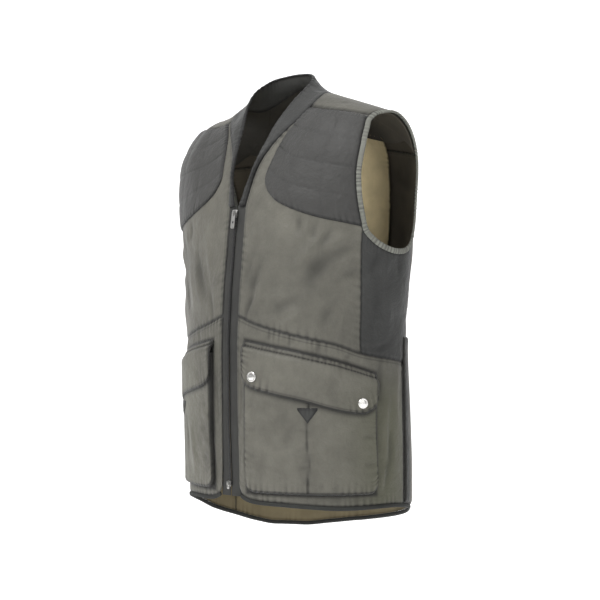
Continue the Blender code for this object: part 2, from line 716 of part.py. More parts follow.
def tray(places, proud, name, finish):
    """A wall whose height above the form is given for each point of its grid"""
    outside = []
    inside = []
    for j, row in enumerate(places):
        heights = [proud(i, j) for i in range(len(row))]
        outside.append([cloth_point(p, h) for p, h in zip(row, heights)])
        inside.append([cloth_point(p, h - CLOTH) for p, h in zip(row, heights)])
    return wall(name, outside, inside, finish)


def flap_line(around):
    """Level of the flap's top seam at an angle"""
    for a, b in zip(FLAP_TOP, FLAP_TOP[1:]):
        if around <= b.around:
            return a.level + (b.level - a.level) * max(around - a.around, 0) / (b.around - a.around)
    return FLAP_TOP[-1].level


def make_pockets():
    """Bellows pockets with a centre pleat, the tack at the pleat's top, the flaps and their studs"""
    corner = 15.0
    for side in (1, -1):
        width = 212.0
        steps = tray_steps(width, 3.2, 10)
        down = [t for t in tray_steps(210.0, 3.2, 10) if t < 1 - 3.2 / 210.0 - 1e-9]
        pleat = (PLEAT_AROUND - POCKET_LEFT) / (POCKET_RIGHT - POCKET_LEFT)
        near = min(range(len(steps)), key=lambda k: abs(steps[k] - pleat))
        steps[near] = pleat
        steps[near - 1:near] = [steps[near - 1], pleat - 0.022]
        steps.insert(near + 2, pleat + 0.022)
        places = []
        for v in down:
            row = []
            for u in steps:
                around = POCKET_LEFT + (POCKET_RIGHT - POCKET_LEFT) * u
                edge = min(u, 1 - u) * width
                round_up = corner - math.sqrt(max(corner ** 2 - max(corner - edge, 0) ** 2, 0))
                low = -617.5 + round_up * (1 - v)
                high = flap_line(around) - MOUTH_BELOW_FLAP
                row.append(Place(side * around, low + (high - low) * v / down[-1]))
            places.append(row)
        last = len(steps) - 1

        def proud(i, j):
            edge = GUSSET_RISE[min(i, last - i, 2)] * GUSSET_RISE[min(j, 2)]
            groove = 1.3 if abs(steps[i] - pleat) < 0.001 else 0.0
            base = LAY_ON + CLOTH
            return base + (POCKET_DEPTH - base) * edge - groove * edge

        tray(places, proud, side_name("pocket", side), "olive cloth")
        make_tack(side)
        make_flap(side)


def make_tack(side):
    """Dark kite-shaped tack over the top of the pleat"""
    half = TACK_WIDTH / 2 / 2.32
    places = []
    for j in range(3):
        v = j / 2
        row = []
        for i in range(5):
            u = i / 2 - 1
            low = TACK_TOP - TACK_HEIGHT * (1 - abs(u)) - 1.5
            row.append(Place(side * (PLEAT_AROUND + half * u), low + (TACK_TOP - low) * v))
        places.append(row)
    cloth_piece(side_name("pleat_tack", side), places, "dark cloth",
                out=POCKET_DEPTH + 0.5 + 1.2, thickness=1.2, gap=0.0)


def make_flap(side):
    """Pocket flap, sewn on above the mouth and stepping out over the pocket's front"""
    lower = seam(FLAP_LOWER)
    fold = seam(raised(FLAP_TOP, -FLAP_STEP))
    places = fill(lower, fold, lambda t: Place(9.6 - 0.3 * t, -436 + (50 - FLAP_STEP) * t),
                  lambda t: Place(80.6 + 0.1 * t, -471 + (34.6 - FLAP_STEP) * t), FLAP_GRID)

    def step_out(place):
        below = flap_line(abs(place.around)) - place.level
        return LAY_ON + 1.6 + (POCKET_DEPTH + 0.3) * ease(below / (MOUTH_BELOW_FLAP - 4))

    rows = [[Place(side * p.around, p.level) for p in row] for row in places]
    rows += [raised(rows[FLAP_GRID.rows], FLAP_STEP * share) for share in (0.35, 0.65, 1.0)]
    cloth_piece(side_name("flap", side), rows, "olive cloth", out=step_out, thickness=1.6, gap=0.0)
    for name, place in STUDS.items():
        if side < 0 and name == "inner":
            continue
        make_stud(side_name(f"stud_{name}", side), Place(side * place.around, place.level),
                  step_out(place))


def make_stud(name, place, out):
    """A press stud's domed cap, turned to the flap's face"""
    shape = bmesh.new()
    centre = cloth_point(place, out)
    normal = form_normal(*place)
    profile = ((0.0, 0.9), (1.0, 1.0), (1.8, 0.86), (2.3, 0.5))
    turn = normal.to_track_quat("Z", "Y").to_matrix().to_4x4()
    spin = Matrix.Translation(centre) @ turn
    rings = []
    sides = 12
    for height, share in profile:
        rings.append([shape.verts.new(spin @ Vector((
            STUD_RADIUS * share * math.cos(2 * math.pi * k / sides),
            STUD_RADIUS * share * math.sin(2 * math.pi * k / sides), height + 0.45)))
            for k in range(sides)])
    for a, b in zip(rings, rings[1:]):
        for k in range(sides):
            shape.faces.new([a[k], a[(k + 1) % sides], b[(k + 1) % sides], b[k]])
    shape.faces.new(rings[0][::-1])
    shape.faces.new(rings[-1])
    return add_object(name, shape, "bright metal")


def make_neck_band():
    """Neck band: narrow down the front opening, rising to a stand collar at the back"""
    front_steps = FRONT_ARMHOLE_ROWS
    back_steps = BAND_BACK_STEPS
    front_neck = seam(NECK_SEAM, 0, NECK_AT_YOKE_SEAM)
    back_neck = seam(NECK_SEAM, NECK_AT_YOKE_SEAM, len(NECK_SEAM) - 1)
    edge_table = [Vector(row) for row in BAND_EDGE]
    lengths = [0.0]
    for a, b in zip(edge_table, edge_table[1:]):
        lengths.append(lengths[-1] + (b - a).length)

    def free_edge(t):
        goal = t * lengths[-1]
        k = max(i for i in range(len(edge_table) - 1) if lengths[i] <= goal + 1e-9)
        s = (goal - lengths[k]) / (lengths[k + 1] - lengths[k])
        a = edge_table[max(k - 1, 0)]
        b = edge_table[k]
        c = edge_table[k + 1]
        d = edge_table[min(k + 2, len(edge_table) - 1)]
        return 0.5 * (2 * b + (c - a) * s + (2 * a - 5 * b + 4 * c - d) * s ** 2
                      + (3 * b - a - 3 * c + d) * s ** 3)

    half = []
    for k in range(front_steps + back_steps + 1):
        if k <= front_steps:
            place = front_neck(k / front_steps)
            tip = free_edge(BAND_AT_YOKE_SEAM * k / front_steps)
        else:
            t = (k - front_steps) / back_steps
            place = back_neck(t)
            tip = free_edge(BAND_AT_YOKE_SEAM + (1 - BAND_AT_YOKE_SEAM) * t)
        root = form_point(*place) - form_normal(*place) * (CLOTH / 2)
        bulge = form_normal(*place) * 2.0
        half.append([root + (tip - root) * s + bulge * math.sin(math.pi * s) for s in (0, 0.3, 0.65, 1)])
    flip = Vector((-1, 1, 1))
    rows = half + [[p * flip for p in row] for row in reversed(half[:-1])]
    outside = []
    inside = []
    thick = 1.1
    for k, row in enumerate(rows):
        ahead = rows[min(k + 1, len(rows) - 1)]
        behind = rows[max(k - 1, 0)]
        outer_row = []
        inner_row = []
        for i, point in enumerate(row):
            across = row[min(i + 1, 3)] - row[max(i - 1, 0)]
            normal = (ahead[i] - behind[i]).cross(across).normalized()
            start = (row[1] - row[0]).normalized() * 1.2 if i == 0 else Vector()
            outer_row.append(point + start - normal * thick)
            inner_row.append(point + start + normal * thick)
        outside.append(outer_row)
        inside.append(inner_row)
    wall("neck_band", outside, inside, "dark cloth")


def make_bindings():
    """Bound armholes and the dark hem binding"""
    spans = ((0, ARMHOLE_AT_SIDE_FRONT, FRONT_ARMHOLE_ROWS),
             (ARMHOLE_AT_SIDE_FRONT, ARMHOLE_AT_SIDE_BACK, SIDE_GRID.columns),
             (ARMHOLE_AT_SIDE_BACK, ARMHOLE_AT_BACK_YOKE, BACK_ARMHOLE_ROWS))
    places = []
    for first, last, count in spans:
        line = seam(ARMHOLE, first, last)
        places += [line(k / count) for k in range(count)]
    back = seam([Place(55.7, 0.0)] + [over_shoulder(ARMHOLE[k]) for k in (20, 19, 18, 17)])
    places += [back(1 - k / YOKE_OVER_STEPS) for k in range(YOKE_OVER_STEPS)]
    front = seam([Place(53.2, -11), Place(53.6, -5), Place(55.7, 0.0)])
    places += [front(1 - k / YOKE_FRONT_STEPS) for k in range(YOKE_FRONT_STEPS)]
    for side in (1, -1):
        turned = [Place(side * p.around, p.level) for p in places]
        points, normals, sides = edge_frames(turned, -side, loop=True)
        centres = [p + s * (BINDING_WIDTH / 2 + SEAM_GAP) for p, s in zip(points, sides)]
        strip(side_name("armhole_binding", side), centres, normals, sides, BINDING_THICKNESS / 2,
              BINDING_WIDTH / 2, "binding", loop=True)
    for side in (1, -1):
        hem = FRONT_HEM["left" if side > 0 else "right"]
        line = seam(hem, HEM_BOUND_FROM)
        steps = 22
        turned = [Place(side * line(k / steps).around, line(k / steps).level) for k in range(steps + 1)]
        turned[-1] = Place(side * (hem[-1].around - 0.2), turned[-1].level)
        points, normals, sides = edge_frames(turned, side)
        centres = [p + s * (HEM_WIDTH / 2 + 2 * SEAM_GAP) for p, s in zip(points, sides)]
        strip(side_name("hem_binding", side), centres, normals, sides, HEM_THICKNESS / 2,
              HEM_WIDTH / 2, "dark binding")
    whole = [Place(a, level_on(BACK_HEM, a)) for a in [104.5] + back_angles() + [255.5]]
    points, normals, sides = edge_frames(whole, 1)
    centres = [p + s * (HEM_WIDTH / 2 + 2 * SEAM_GAP) for p, s in zip(points, sides)]
    strip("hem_binding_back", centres, normals, sides, HEM_THICKNESS / 2, HEM_WIDTH / 2, "dark binding")


def make_zip():
    """Tapes and closed teeth of the two-way front zip"""
    rows = ZIP_ROWS
    teeth_high = SLIDERS["top"].level - SLIDERS["top"].length * 0.75
    teeth_low = SLIDERS["bottom"].level - SLIDERS["bottom"].length * 0.55
    for side in (1, -1):
        tape = []
        teeth = []
        for j in range(rows + 1):
            z = ZIP_BOTTOM + (ZIP_TOP - ZIP_BOTTOM) * j / rows
            inner = around_at(TEETH_HALF + SEAM_GAP, z)
            outer = around_at(FRONT_EDGE_X - SEAM_GAP, z)
            tape.append([Place(side * inner, z), Place(side * (inner + outer) / 2, z),
                         Place(side * outer, z)])
            level = teeth_low + (teeth_high - teeth_low) * j / rows
            teeth.append([Place(side * around_at(0.15, level), level),
                          Place(side * around_at(TEETH_HALF, level), level)])
        cloth_piece(side_name("zip_tape", side), tape, "zip tape", out=-0.4,
                    thickness=TAPE_THICKNESS, gap=0.0)
        cloth_piece(side_name("zip_teeth", side), teeth, "zip teeth",
                    out=(TEETH_THICKNESS - TAPE_THICKNESS) / 2 - 0.4, thickness=TEETH_THICKNESS, gap=0.0)


def block(shape, low, high, matrix):
    """A box from its lowest to its highest corner, in a local frame"""
    centre = (Vector(low) + Vector(high)) / 2
    size = Vector(high) - Vector(low)
    place = matrix @ Matrix.Translation(centre) @ Matrix.Diagonal((*size, 1.0))
    bmesh.ops.create_cube(shape, size=1.0, matrix=place)


def united(name, boxes, matrix, finish):
    """One body from overlapping boxes"""
    base = None
    for k, (low, high) in enumerate(boxes):
        shape = bmesh.new()
        block(shape, low, high, matrix)
        made = add_object(f"{name}" if k == 0 else f"{name} part {k}", shape, finish, smooth=False)
        if k == 0:
            base = made
            continue
        GARMENT.objects.unlink(made)
        CUTTERS.objects.link(made)
        made.hide_render = True
        made.display_type = "WIRE"
        joint = base.modifiers.new(f"part {k}", "BOOLEAN")
        joint.operation = "UNION"
        joint.object = made
    return base


def slider_frame(level):
    """Local frame on the zip: X across, Y out of the cloth, Z up along the zip"""
    place = Place(0.001, level)
    normal = form_normal(*place)
    normal = Vector((0, normal.y, normal.z)).normalized()
    across = Vector((1, 0, 0))
    up = across.cross(normal)
    up = up if up.z > 0 else -up
    turn = Matrix((across, normal, up)).transposed().to_4x4()
    return Matrix.Translation(cloth_point(place)) @ turn


def make_slider(end, slider):
    """A slider: two plates joined by a post, a bridge on the front, and the pull that hangs from it"""
    frame = slider_frame(slider.level)
    front = 1.2
    rear = -3.0
    half = slider.half_width
    length = slider.length
    face = front + PLATE_THICKNESS
    axis_out = face + PIVOT_OUT
    axis_down = -length * 0.38
    post = (-length * 0.35, -0.3) if slider.post_up else (0.3 - length, length * 0.35 - length)
    leg = BRIDGE_HALF_WIDTH
    near = 0.7 + length * 0.08
    far = near + LEG_THICKNESS
    over = axis_out + 1.2
    boxes = [((-half, front, -length), (half, face, 0)),
             ((-half, rear - PLATE_THICKNESS, -length), (half, rear, 0)),
             ((-1.0, rear - 0.7, post[0]), (1.0, front + 0.5, post[1])),
             ((-leg, front + 0.9, axis_down + near), (leg, over + 0.6, axis_down + far)),
             ((-leg, front + 0.9, axis_down - far), (leg, over + 0.6, axis_down - near)),
             ((-leg - 0.2, over, axis_down - far - 0.3), (leg + 0.2, over + 1.2, axis_down + far + 0.3))]
    united(f"slider_{end}", boxes, frame, "bright metal")
    up = frame.to_3x3() @ Vector((0, 0, 1))
    make_pull(f"pull_{end}", slider, frame @ Vector((0, axis_out, axis_down)), up)


def make_pull(name, slider, axis, up):
    """A flat pull tab along the zip, with an eye round the bridge; its origin is on the hinge line"""
    half = slider.pull_half_width
    tip = -slider.pull_length
    outline = bpy.data.curves.new(name, "CURVE")
    outline.dimensions = "2D"
    outline.fill_mode = "BOTH"
    outline.extrude = PULL_THICKNESS / 2 * MM
    loops = [
        [(-half, EYE_BAR), (half, EYE_BAR), (half, tip + 2.0), (half * 0.6, tip), (-half * 0.6, tip),
         (-half, tip + 2.0)],
        [(-EYE_HALF_WIDTH, -EYE_BAR), (-EYE_HALF_WIDTH, -EYE_LENGTH), (EYE_HALF_WIDTH, -EYE_LENGTH),
         (EYE_HALF_WIDTH, -EYE_BAR)],
    ]
    if slider.holes > 1:
        hole = -EYE_LENGTH + (EYE_LENGTH + tip) * 0.42
        loops.append([(-EYE_HALF_WIDTH, hole), (-EYE_HALF_WIDTH, hole - 3.4),
                      (EYE_HALF_WIDTH, hole - 3.4), (EYE_HALF_WIDTH, hole)])
    for loop in loops:
        spline = outline.splines.new("POLY")
        spline.points.add(len(loop) - 1)
        for point, (x, z) in zip(spline.points, loop):
            point.co = (x * MM, z * MM, 0, 1)
        spline.use_cyclic_u = True
    made = bpy.data.objects.new(name, outline)
    made.location = axis * MM
    made.rotation_euler = (min(math.atan2(up.z, up.y), math.pi / 2), 0, 0)
    outline.materials.append(material("bright metal"))
    GARMENT.objects.link(made)


for old in list(bpy.data.objects):
    bpy.data.objects.remove(old, do_unlink=True)
GARMENT = bpy.data.collections.new("gilet")
CUTTERS = bpy.data.collections.new("cutters")
bpy.context.scene.collection.children.link(GARMENT)
bpy.context.scene.collection.children.link(CUTTERS)
make_fronts()
make_patches()
make_yoke()
make_back()
make_sides()
make_skirts()
make_back_skirt()
make_pockets()
make_neck_band()
make_bindings()
make_zip()
for end, slider in SLIDERS.items():
    make_slider(end, slider)
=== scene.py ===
"""Dresses the shooting gilet: waxed cloth with its creases, quilting, sewing, binding, zip and press studs.

Every cloth piece is a grid laid on the body form that the solids follow. A place on it is an angle round
the body (0 at the centre front, 90 at the wearer's left side) and a level below the shoulder ridge.
The tables are in millimetres; meshes are made in metres. The wearer's left is +X, the front is -Y.
"""
import math
from collections import namedtuple

import bpy
import numpy as np
from bpy.props import FloatProperty, FloatVectorProperty, PointerProperty
from mathutils import Matrix, Vector


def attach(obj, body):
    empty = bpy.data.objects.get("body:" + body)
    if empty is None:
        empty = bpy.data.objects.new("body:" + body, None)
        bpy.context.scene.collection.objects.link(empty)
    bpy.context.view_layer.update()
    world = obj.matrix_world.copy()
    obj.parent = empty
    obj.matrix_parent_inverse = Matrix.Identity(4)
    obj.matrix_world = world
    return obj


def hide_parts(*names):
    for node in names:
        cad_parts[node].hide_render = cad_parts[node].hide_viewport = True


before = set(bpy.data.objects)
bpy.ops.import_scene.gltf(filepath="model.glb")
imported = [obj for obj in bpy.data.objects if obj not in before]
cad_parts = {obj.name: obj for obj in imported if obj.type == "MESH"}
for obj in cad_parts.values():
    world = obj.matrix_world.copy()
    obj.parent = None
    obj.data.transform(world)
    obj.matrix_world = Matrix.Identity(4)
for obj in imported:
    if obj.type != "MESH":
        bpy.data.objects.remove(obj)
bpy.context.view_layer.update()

bl_info = {
    "name": "Shooting Gilet",
    "version": (1, 0, 0),
    "blender": (4, 5, 0),
    "location": "View3D > Sidebar > Gilet",
    "description": "Sews, creases and trims a waxed cotton shooting gilet",
    "category": "Object",
}

MM = 0.001

# The body form: half width, depth in front and behind, and how square each section is
Section = namedtuple("Section", "level half_width front_depth back_depth side_y front_power back_power")
SECTIONS = (
    Section(0, 236, 92, 98, -10, 2.20, 2.2),
    Section(-60, 234, 108, 112, -8, 2.20, 2.2),
    Section(-120, 229, 122, 120, -5, 2.25, 2.2),
    Section(-170, 223, 131, 122, -3, 2.30, 2.2),
    Section(-210, 218, 137, 119, 0, 2.30, 2.2),
    Section(-256, 213, 142, 114, 0, 2.20, 2.2),
    Section(-330, 206, 149, 113, 0, 2.10, 2.2),
    Section(-400, 198, 152, 119, 0, 2.10, 2.2),
    Section(-500, 195.5, 151, 134, 0, 2.10, 2.2),
    Section(-600, 195.5, 147, 140, 0, 2.10, 2.2),
    Section(-710, 195.5, 146, 141, 0, 2.10, 2.2),
)
NECK_POINT = (95.0, -31.0, -4.0)
SHOULDER_TIP = (200.0, -2.0, -38.5)
SLOPE_FADE = 190.0
NECK_SOFTNESS = 25.0
NECK_RISE = 12.0
NECK_RISE_WIDTH = 50.0
RIGHT_SHOULDER_DROP = 13.0
RIGHT_DROP_X = -112.0
RIGHT_DROP_WIDTH = 45.0
Rounding = namedtuple("Rounding", "reach power")
FRONT_NEAR_NECK = Rounding(200, 1.6)
BACK_NEAR_NECK = Rounding(120, 2.0)
NEAR_ARMHOLE = Rounding(100, 2.3)
RIGHT_FRONT_NEAR_ARMHOLE = Rounding(116, 2.0)

Fold = namedtuple("Fold", "around level lean length width height")


def folds(*rows):
    """A table of folds from plain rows"""
    return tuple(Fold(*row) for row in rows)


# The large soft folds that the solids have too
FOLDS = folds(
    (24, -300, 62, 160, 40, -2.4),
    (38, -262, 48, 130, 44, 2.2),
    (54, -325, 70, 120, 40, -2.0),
    (-16, -290, -70, 110, 32, -2.6),
    (-24, -300, -64, 110, 34, 2.4),
    (-42, -270, -45, 140, 44, -2.0),
    (80, -300, 84, 150, 40, 2.2),
    (-80, -300, -84, 150, 40, 2.2),
    (98, -345, 20, 100, 44, -2.0),
    (-98, -345, -20, 100, 44, -2.0),
    (150, -290, 40, 200, 70, 2.6),
    (-150, -300, -40, 200, 70, 2.6),
    (174, -200, 80, 180, 64, -2.4),
    (92, -560, 88, 180, 46, 2.6),
    (-92, -560, -88, 180, 46, 2.6),
)

# Smaller creases that the solids don't have; CREASE_GAIN makes them deeper than written
CREASES = folds(
    # wearer's left front, from the patch down to the waist
    (31, -212, 80, 42, 9, -1.3), (35, -216, 82, 50, 8, 1.0), (39, -222, 84, 46, 10, -1.2),
    (46, -232, 60, 60, 12, -1.1), (52, -238, 35, 70, 15, 1.1), (56, -252, 30, 84, 18, -1.2),
    (60, -268, 24, 60, 12, 0.9), (61, -286, 18, 62, 14, -0.9), (44, -275, 52, 110, 24, -1.8),
    (36, -258, 50, 90, 20, 1.3), (12, -300, 74, 110, 14, -1.3), (15, -318, 70, 90, 12, 1.2),
    (10, -338, 66, 60, 9, -1.4), (28, -334, 28, 90, 16, -1.0), (34, -352, 38, 70, 12, 1.0),
    (50, -350, 66, 80, 16, -1.0), (22, -228, 76, 80, 20, 0.9), (58, -368, 74, 50, 10, 1.0),
    (8, -238, 84, 90, 12, 0.9), (9, -276, 80, 70, 10, -0.9),
    # wearer's right front
    (-30, -214, -80, 44, 9, -1.2), (-36, -222, -80, 50, 9, 1.0), (-44, -236, -60, 70, 14, -1.4),
    (-54, -252, -35, 80, 16, 1.5), (-58, -270, -28, 84, 15, -1.8), (-60, -292, -20, 64, 14, 1.2),
    (-14, -262, -76, 100, 14, 1.0), (-22, -286, -68, 120, 18, -1.8), (-30, -300, -64, 110, 16, 1.4),
    (-38, -318, -60, 90, 15, -1.4), (-12, -330, -72, 70, 10, -1.2), (-48, -344, -66, 80, 14, 1.1),
    # under the arms
    (76, -266, 62, 60, 14, -1.3), (82, -274, 80, 70, 14, 1.2), (92, -272, -80, 60, 14, -1.2),
    (78, -330, 86, 120, 16, -1.1), (88, -352, -84, 110, 16, 1.0), (84, -396, 20, 60, 12, -1.1),
    (-76, -266, -62, 60, 14, -1.3), (-84, -276, -80, 70, 14, 1.2), (-94, -272, 80, 60, 14, -1.2),
    (-80, -334, -86, 120, 16, -1.1), (-90, -396, -20, 60, 12, 1.0),
    # skirts: between the waist and the flaps, and beside the pockets
    (22, -381, 70, 26, 8, -0.9), (27, -385, 74, 24, 7, 0.8), (33, -390, 66, 26, 8, -0.9),
    (41, -396, 70, 26, 8, 0.8), (47, -400, 72, 24, 7, -0.9), (55, -405, 70, 26, 8, 0.8),
    (63, -412, 74, 24, 8, -0.9), (72, -416, 76, 30, 9, 0.9), (83, -450, 88, 120, 12, -1.6),
    (87, -520, 88, 150, 13, 1.8), (90, -560, 86, 150, 12, -1.6), (96, -470, 88, 130, 14, 1.4),
    (85, -600, 84, 60, 10, 1.2), (7.4, -480, 88, 150, 9, -0.9), (8, -570, 86, 80, 9, 0.8),
    (-22, -381, -70, 26, 8, -0.9), (-30, -388, -72, 26, 8, 0.8), (-40, -396, -70, 26, 8, -0.9),
    (-52, -404, -70, 26, 8, 0.8), (-83, -460, -88, 130, 12, -1.6), (-88, -540, -88, 150, 13, 1.6),
    (-7.4, -470, -88, 150, 9, -0.9), (-8, -560, -86, 90, 9, 0.8),
    # back: across the shoulder blades, down the middle and at the waist
    (140, -140, 20, 150, 26, -1.6), (-140, -150, -24, 150, 26, -1.6), (160, -200, 60, 140, 22, 1.5),
    (-162, -230, -64, 150, 24, 1.5), (178, -320, 84, 160, 26, -1.6), (130, -330, 50, 130, 22, -1.6),
    (-132, -330, -52, 130, 22, -1.5), (122, -250, 70, 110, 18, 1.3), (-122, -250, -70, 110, 18, 1.3),
    (168, -500, 82, 200, 30, 1.6), (-165, -540, -80, 190, 28, -1.6), (135, -540, 84, 190, 26, 1.5),
    (-136, -500, -84, 190, 26, 1.5), (150, -640, 80, 90, 22, -1.4), (-150, -650, -80, 90, 20, 1.2),
    # yoke
    (50, 8, 80, 60, 14, 0.9), (-50, 8, -80, 60, 14, 0.9), (36, -4, 70, 50, 12, -0.9),
    (-36, -4, -70, 50, 12, -0.9),
)

# Seam lines, each a row of places on the body form for the wearer's left half
Place = namedtuple("Place", "around level")
NECK_SEAM = (
    Place(3.4, -180), Place(4.8, -140), Place(6.4, -117), Place(10.5, -87.5), Place(14.8, -63),
    Place(18.4, -40), Place(20.3, -26), Place(21.3, -14), Place(21.3, 0), Place(18.5, 6),
    Place(14.0, 10), Place(7.5, 12.5), Place(0.0, 13.5),
)
NECK_AT_YOKE_SEAM = 6
ARMHOLE = (
    Place(53.2, -11), Place(53.4, -20), Place(55.4, -36), Place(57.3, -72), Place(57.6, -120),
    Place(59.2, -152), Place(62.0, -188), Place(66.0, -220), Place(71.5, -236), Place(79.0, -248),
    Place(88.0, -255), Place(98.0, -254), Place(107.0, -245), Place(114.0, -226), Place(117.0, -190),
    Place(117.3, -150), Place(116.5, -110), Place(115.5, -75), Place(116.5, -45), Place(119.5, -22),
    Place(122.5, -8), Place(124.3, -0.001), Place(124.9, 5), Place(126.8, 11),
)
ARMHOLE_AT_SIDE_FRONT = 7
ARMHOLE_AT_SIDE_BACK = 13
ARMHOLE_AT_BACK_YOKE = 17
OVER_TIP = Place(55.7, 0.0)
YOKE_FRONT_SEAM = (Place(20.3, -26), Place(31.7, -20.6), Place(41.4, -14.7), Place(53.2, -11))
YOKE_BACK_SEAM = (Place(115.5, -75), Place(135, -78), Place(158, -81), Place(180, -82))
FACING_EDGE = (Place(115.5, -30), Place(128, -44), Place(140, -58), Place(152, -64), Place(180, -65))
SIDE_FRONT_SEAM = (Place(66.0, -220), Place(66.2, -250), Place(68.2, -325), Place(70.6, -405))
SIDE_BACK_SEAM = (Place(114, -226), Place(114.5, -260), Place(116, -330), Place(118, -424))
WAIST_SEAM = (
    Place(4.9, -349), Place(17.0, -364), Place(37.3, -380), Place(56, -391.5), Place(70.6, -405),
    Place(88.5, -413), Place(104.3, -419), Place(118, -424), Place(150, -428), Place(180, -429),
)
WAIST_AT_SIDE_FRONT = 4
WAIST_AT_SIDE = 6
WAIST_AT_SIDE_BACK = 7
HEM_CORNER = (
    Place(5.1, -605), Place(5.4, -613), Place(6.9, -621), Place(10.4, -626.5), Place(16.5, -629),
)
HEM_BOUND_FROM = 2
FRONT_HEM = {
    "left": HEM_CORNER + (
        Place(28.0, -630), Place(42.9, -632), Place(58.1, -634), Place(75.6, -633.5),
        Place(92.6, -633.5), Place(104.3, -636.5)),
    "right": HEM_CORNER + (
        Place(28.0, -629.5), Place(42.9, -632), Place(58.1, -639), Place(75.6, -652),
        Place(92.6, -671), Place(104.3, -681)),
}
BACK_HEM = (
    Place(104.3, -636.5), Place(115, -640), Place(125, -645), Place(140, -657), Place(170, -676.5),
    Place(197, -693), Place(212, -699), Place(228, -699), Place(240, -693.5), Place(255.7, -681),
)
PATCH_INNER = (
    Place(21.3, -27.3), Place(15.9, -64), Place(13.3, -90), Place(11.4, -118), Place(10.4, -140),
    Place(12.4, -158),
)
PATCH_LOWER = (
    Place(12.4, -158), Place(18.6, -176), Place(29.8, -193), Place(40.9, -204), Place(52.9, -212),
    Place(64.9, -219),
)
PATCH_TOP = (Place(21.3, -27.3), Place(31.7, -21.8), Place(41.4, -16.2), Place(53.4, -13))
GAME_POCKET_TOP = (
    Place(106.2, -382), Place(140, -386), Place(180, -387), Place(220, -386), Place(253.8, -382),
)
FLAP_TOP = (Place(9.3, -386), Place(35.6, -401.4), Place(57.4, -416), Place(80.7, -436.4))
FLAP_LOWER = (
    Place(9.6, -436), Place(10.6, -448), Place(15.0, -458), Place(25.6, -466.4), Place(40.6, -476),
    Place(53.7, -487), Place(64.4, -493.5), Place(72.5, -494.4), Place(78.2, -486), Place(80.6, -471),
)
POCKET_LEFT = 10.0
POCKET_RIGHT = 80.3
POCKET_WIDTH = 212.0
POCKET_FLOOR = -617.5
POCKET_CORNER = 15.0
MOUTH_BELOW_FLAP = 20.0
STUDS = {"inner": Place(15.5, -440.7), "outer": Place(70.6, -479.3)}
PLEAT_AROUND = 42.6
TACK_TOP = -487.0

# The neck band's free edge, left half, from the zip top to the centre back
BAND_EDGE = (
    (8.0, -136.5, -179), (12.5, -133, -166), (19.5, -125, -135), (25.0, -114, -107), (37.0, -86, -53),
    (49.0, -66, -22), (57.0, -46, 1), (57.5, -28, 16), (46.0, -12, 28), (25.0, 0, 33.5), (0.0, 4, 35.5),
)
BAND_AT_YOKE_SEAM = 0.62
BAND_OVERLAP = 4.5

# Cloth and trim, in millimetres
CLOTH = 1.4
LAY_ON = 0.8
CREASE_GAIN = 1.9
ALLOWANCE = 0.9
ALLOWANCE_DROP = 0.45
PATCH_CLOTH = 1.6
QUILT_HEIGHT = 1.7
QUILT_COLUMNS = 3
QUILT_ROWS = 4
FACING_CLOTH = 1.0
FACING_DROP_AT_NECK = 0.2
FACING_DROP = 2.9
LINING_CLOTH = 0.9
LINING_DROP = 0.5
LINING_AROUND = (154, 206)
LINING_LEVELS = (-408, -58)
FRONT_EDGE = {1: 19.3, -1: 15.8}
ZIP_TOP = -184.0
ZIP_BOTTOM = -626.0
TAPE_TOP = ZIP_TOP + 5.0
TAPE_INNER_X = 1.2
TAPE_FOLD_X = 15.5
TAPE_EDGE_X = 22.0
TAPE_CLOTH = 0.9
TAPE_DEPTH = 1.7
TEETH_TOP = ZIP_TOP - 11.0
TEETH_BOTTOM = -607.5
TOOTH_PITCH = 2.5
TOOTH_SIZE = (3.4, 2.4, 1.5)
TOOTH_X = 1.35
TOOTH_DEPTH = 0.5
POCKET_DEPTH = 7.6
TACK_HALF_WIDTH = 11.5
TACK_DEGREE = 2.32
TACK_POINT_DROP = 20.0
TACK_OVERLAP = 1.5
TACK_LIFT = 2.0
TACK_CLOTH = 1.2
FLAP_CLOTH = 2.0
FLAP_BAND = 17.0
FLAP_LIFT = 1.6
FLAP_OVER_POCKET = 0.3
BAND_CLOTH = 2.4
GAME_POCKET_DEPTH = 9.0
GAME_POCKET_SIDE_DEPTH = 3.2
GAME_POCKET_EDGE = 106.2
BINDING_THICKNESS = 3.6
HEM_WIDTH = 6.4
HEM_THICKNESS = 3.2


def ease(t):
    """Smooth step from 0 to 1"""
    t = np.clip(t, 0.0, 1.0)
    return t * t * (3.0 - 2.0 * t)


def smooth_slopes(where, column):
    """Slopes of a smooth line through one column that never overshoots its rows"""
    rises = np.diff(column) / np.diff(where)
    inner = [0.0 if a * b <= 0 else 2 * a * b / (a + b) for a, b in zip(rises, rises[1:])]
    return np.array([rises[0]] + inner + [rises[-1]])


def smooth_between(where, column, goal):
    """Values of a smooth line through the rows of a table"""
    where = np.asarray(where, float)
    column = np.asarray(column, float)
    slopes = smooth_slopes(where, column)
    goal = np.clip(goal, where[0], where[-1])
    k = np.clip(np.searchsorted(where, goal, side="right") - 1, 0, len(where) - 2)
    step = where[k + 1] - where[k]
    t = (goal - where[k]) / step
    return (column[k] + (column[k + 1] - column[k]) * ease(t)
            + t * (1 - t) ** 2 * step * slopes[k] + t * t * (t - 1) * step * slopes[k + 1])


SECTION_LEVELS = [row.level for row in reversed(SECTIONS)]
SECTION_COLUMNS = [list(column) for column in zip(*[tuple(row)[1:] for row in reversed(SECTIONS)])]
RIDGE_SLOPE = (NECK_POINT[2] - SHOULDER_TIP[2]) / (SHOULDER_TIP[0] - NECK_POINT[0])


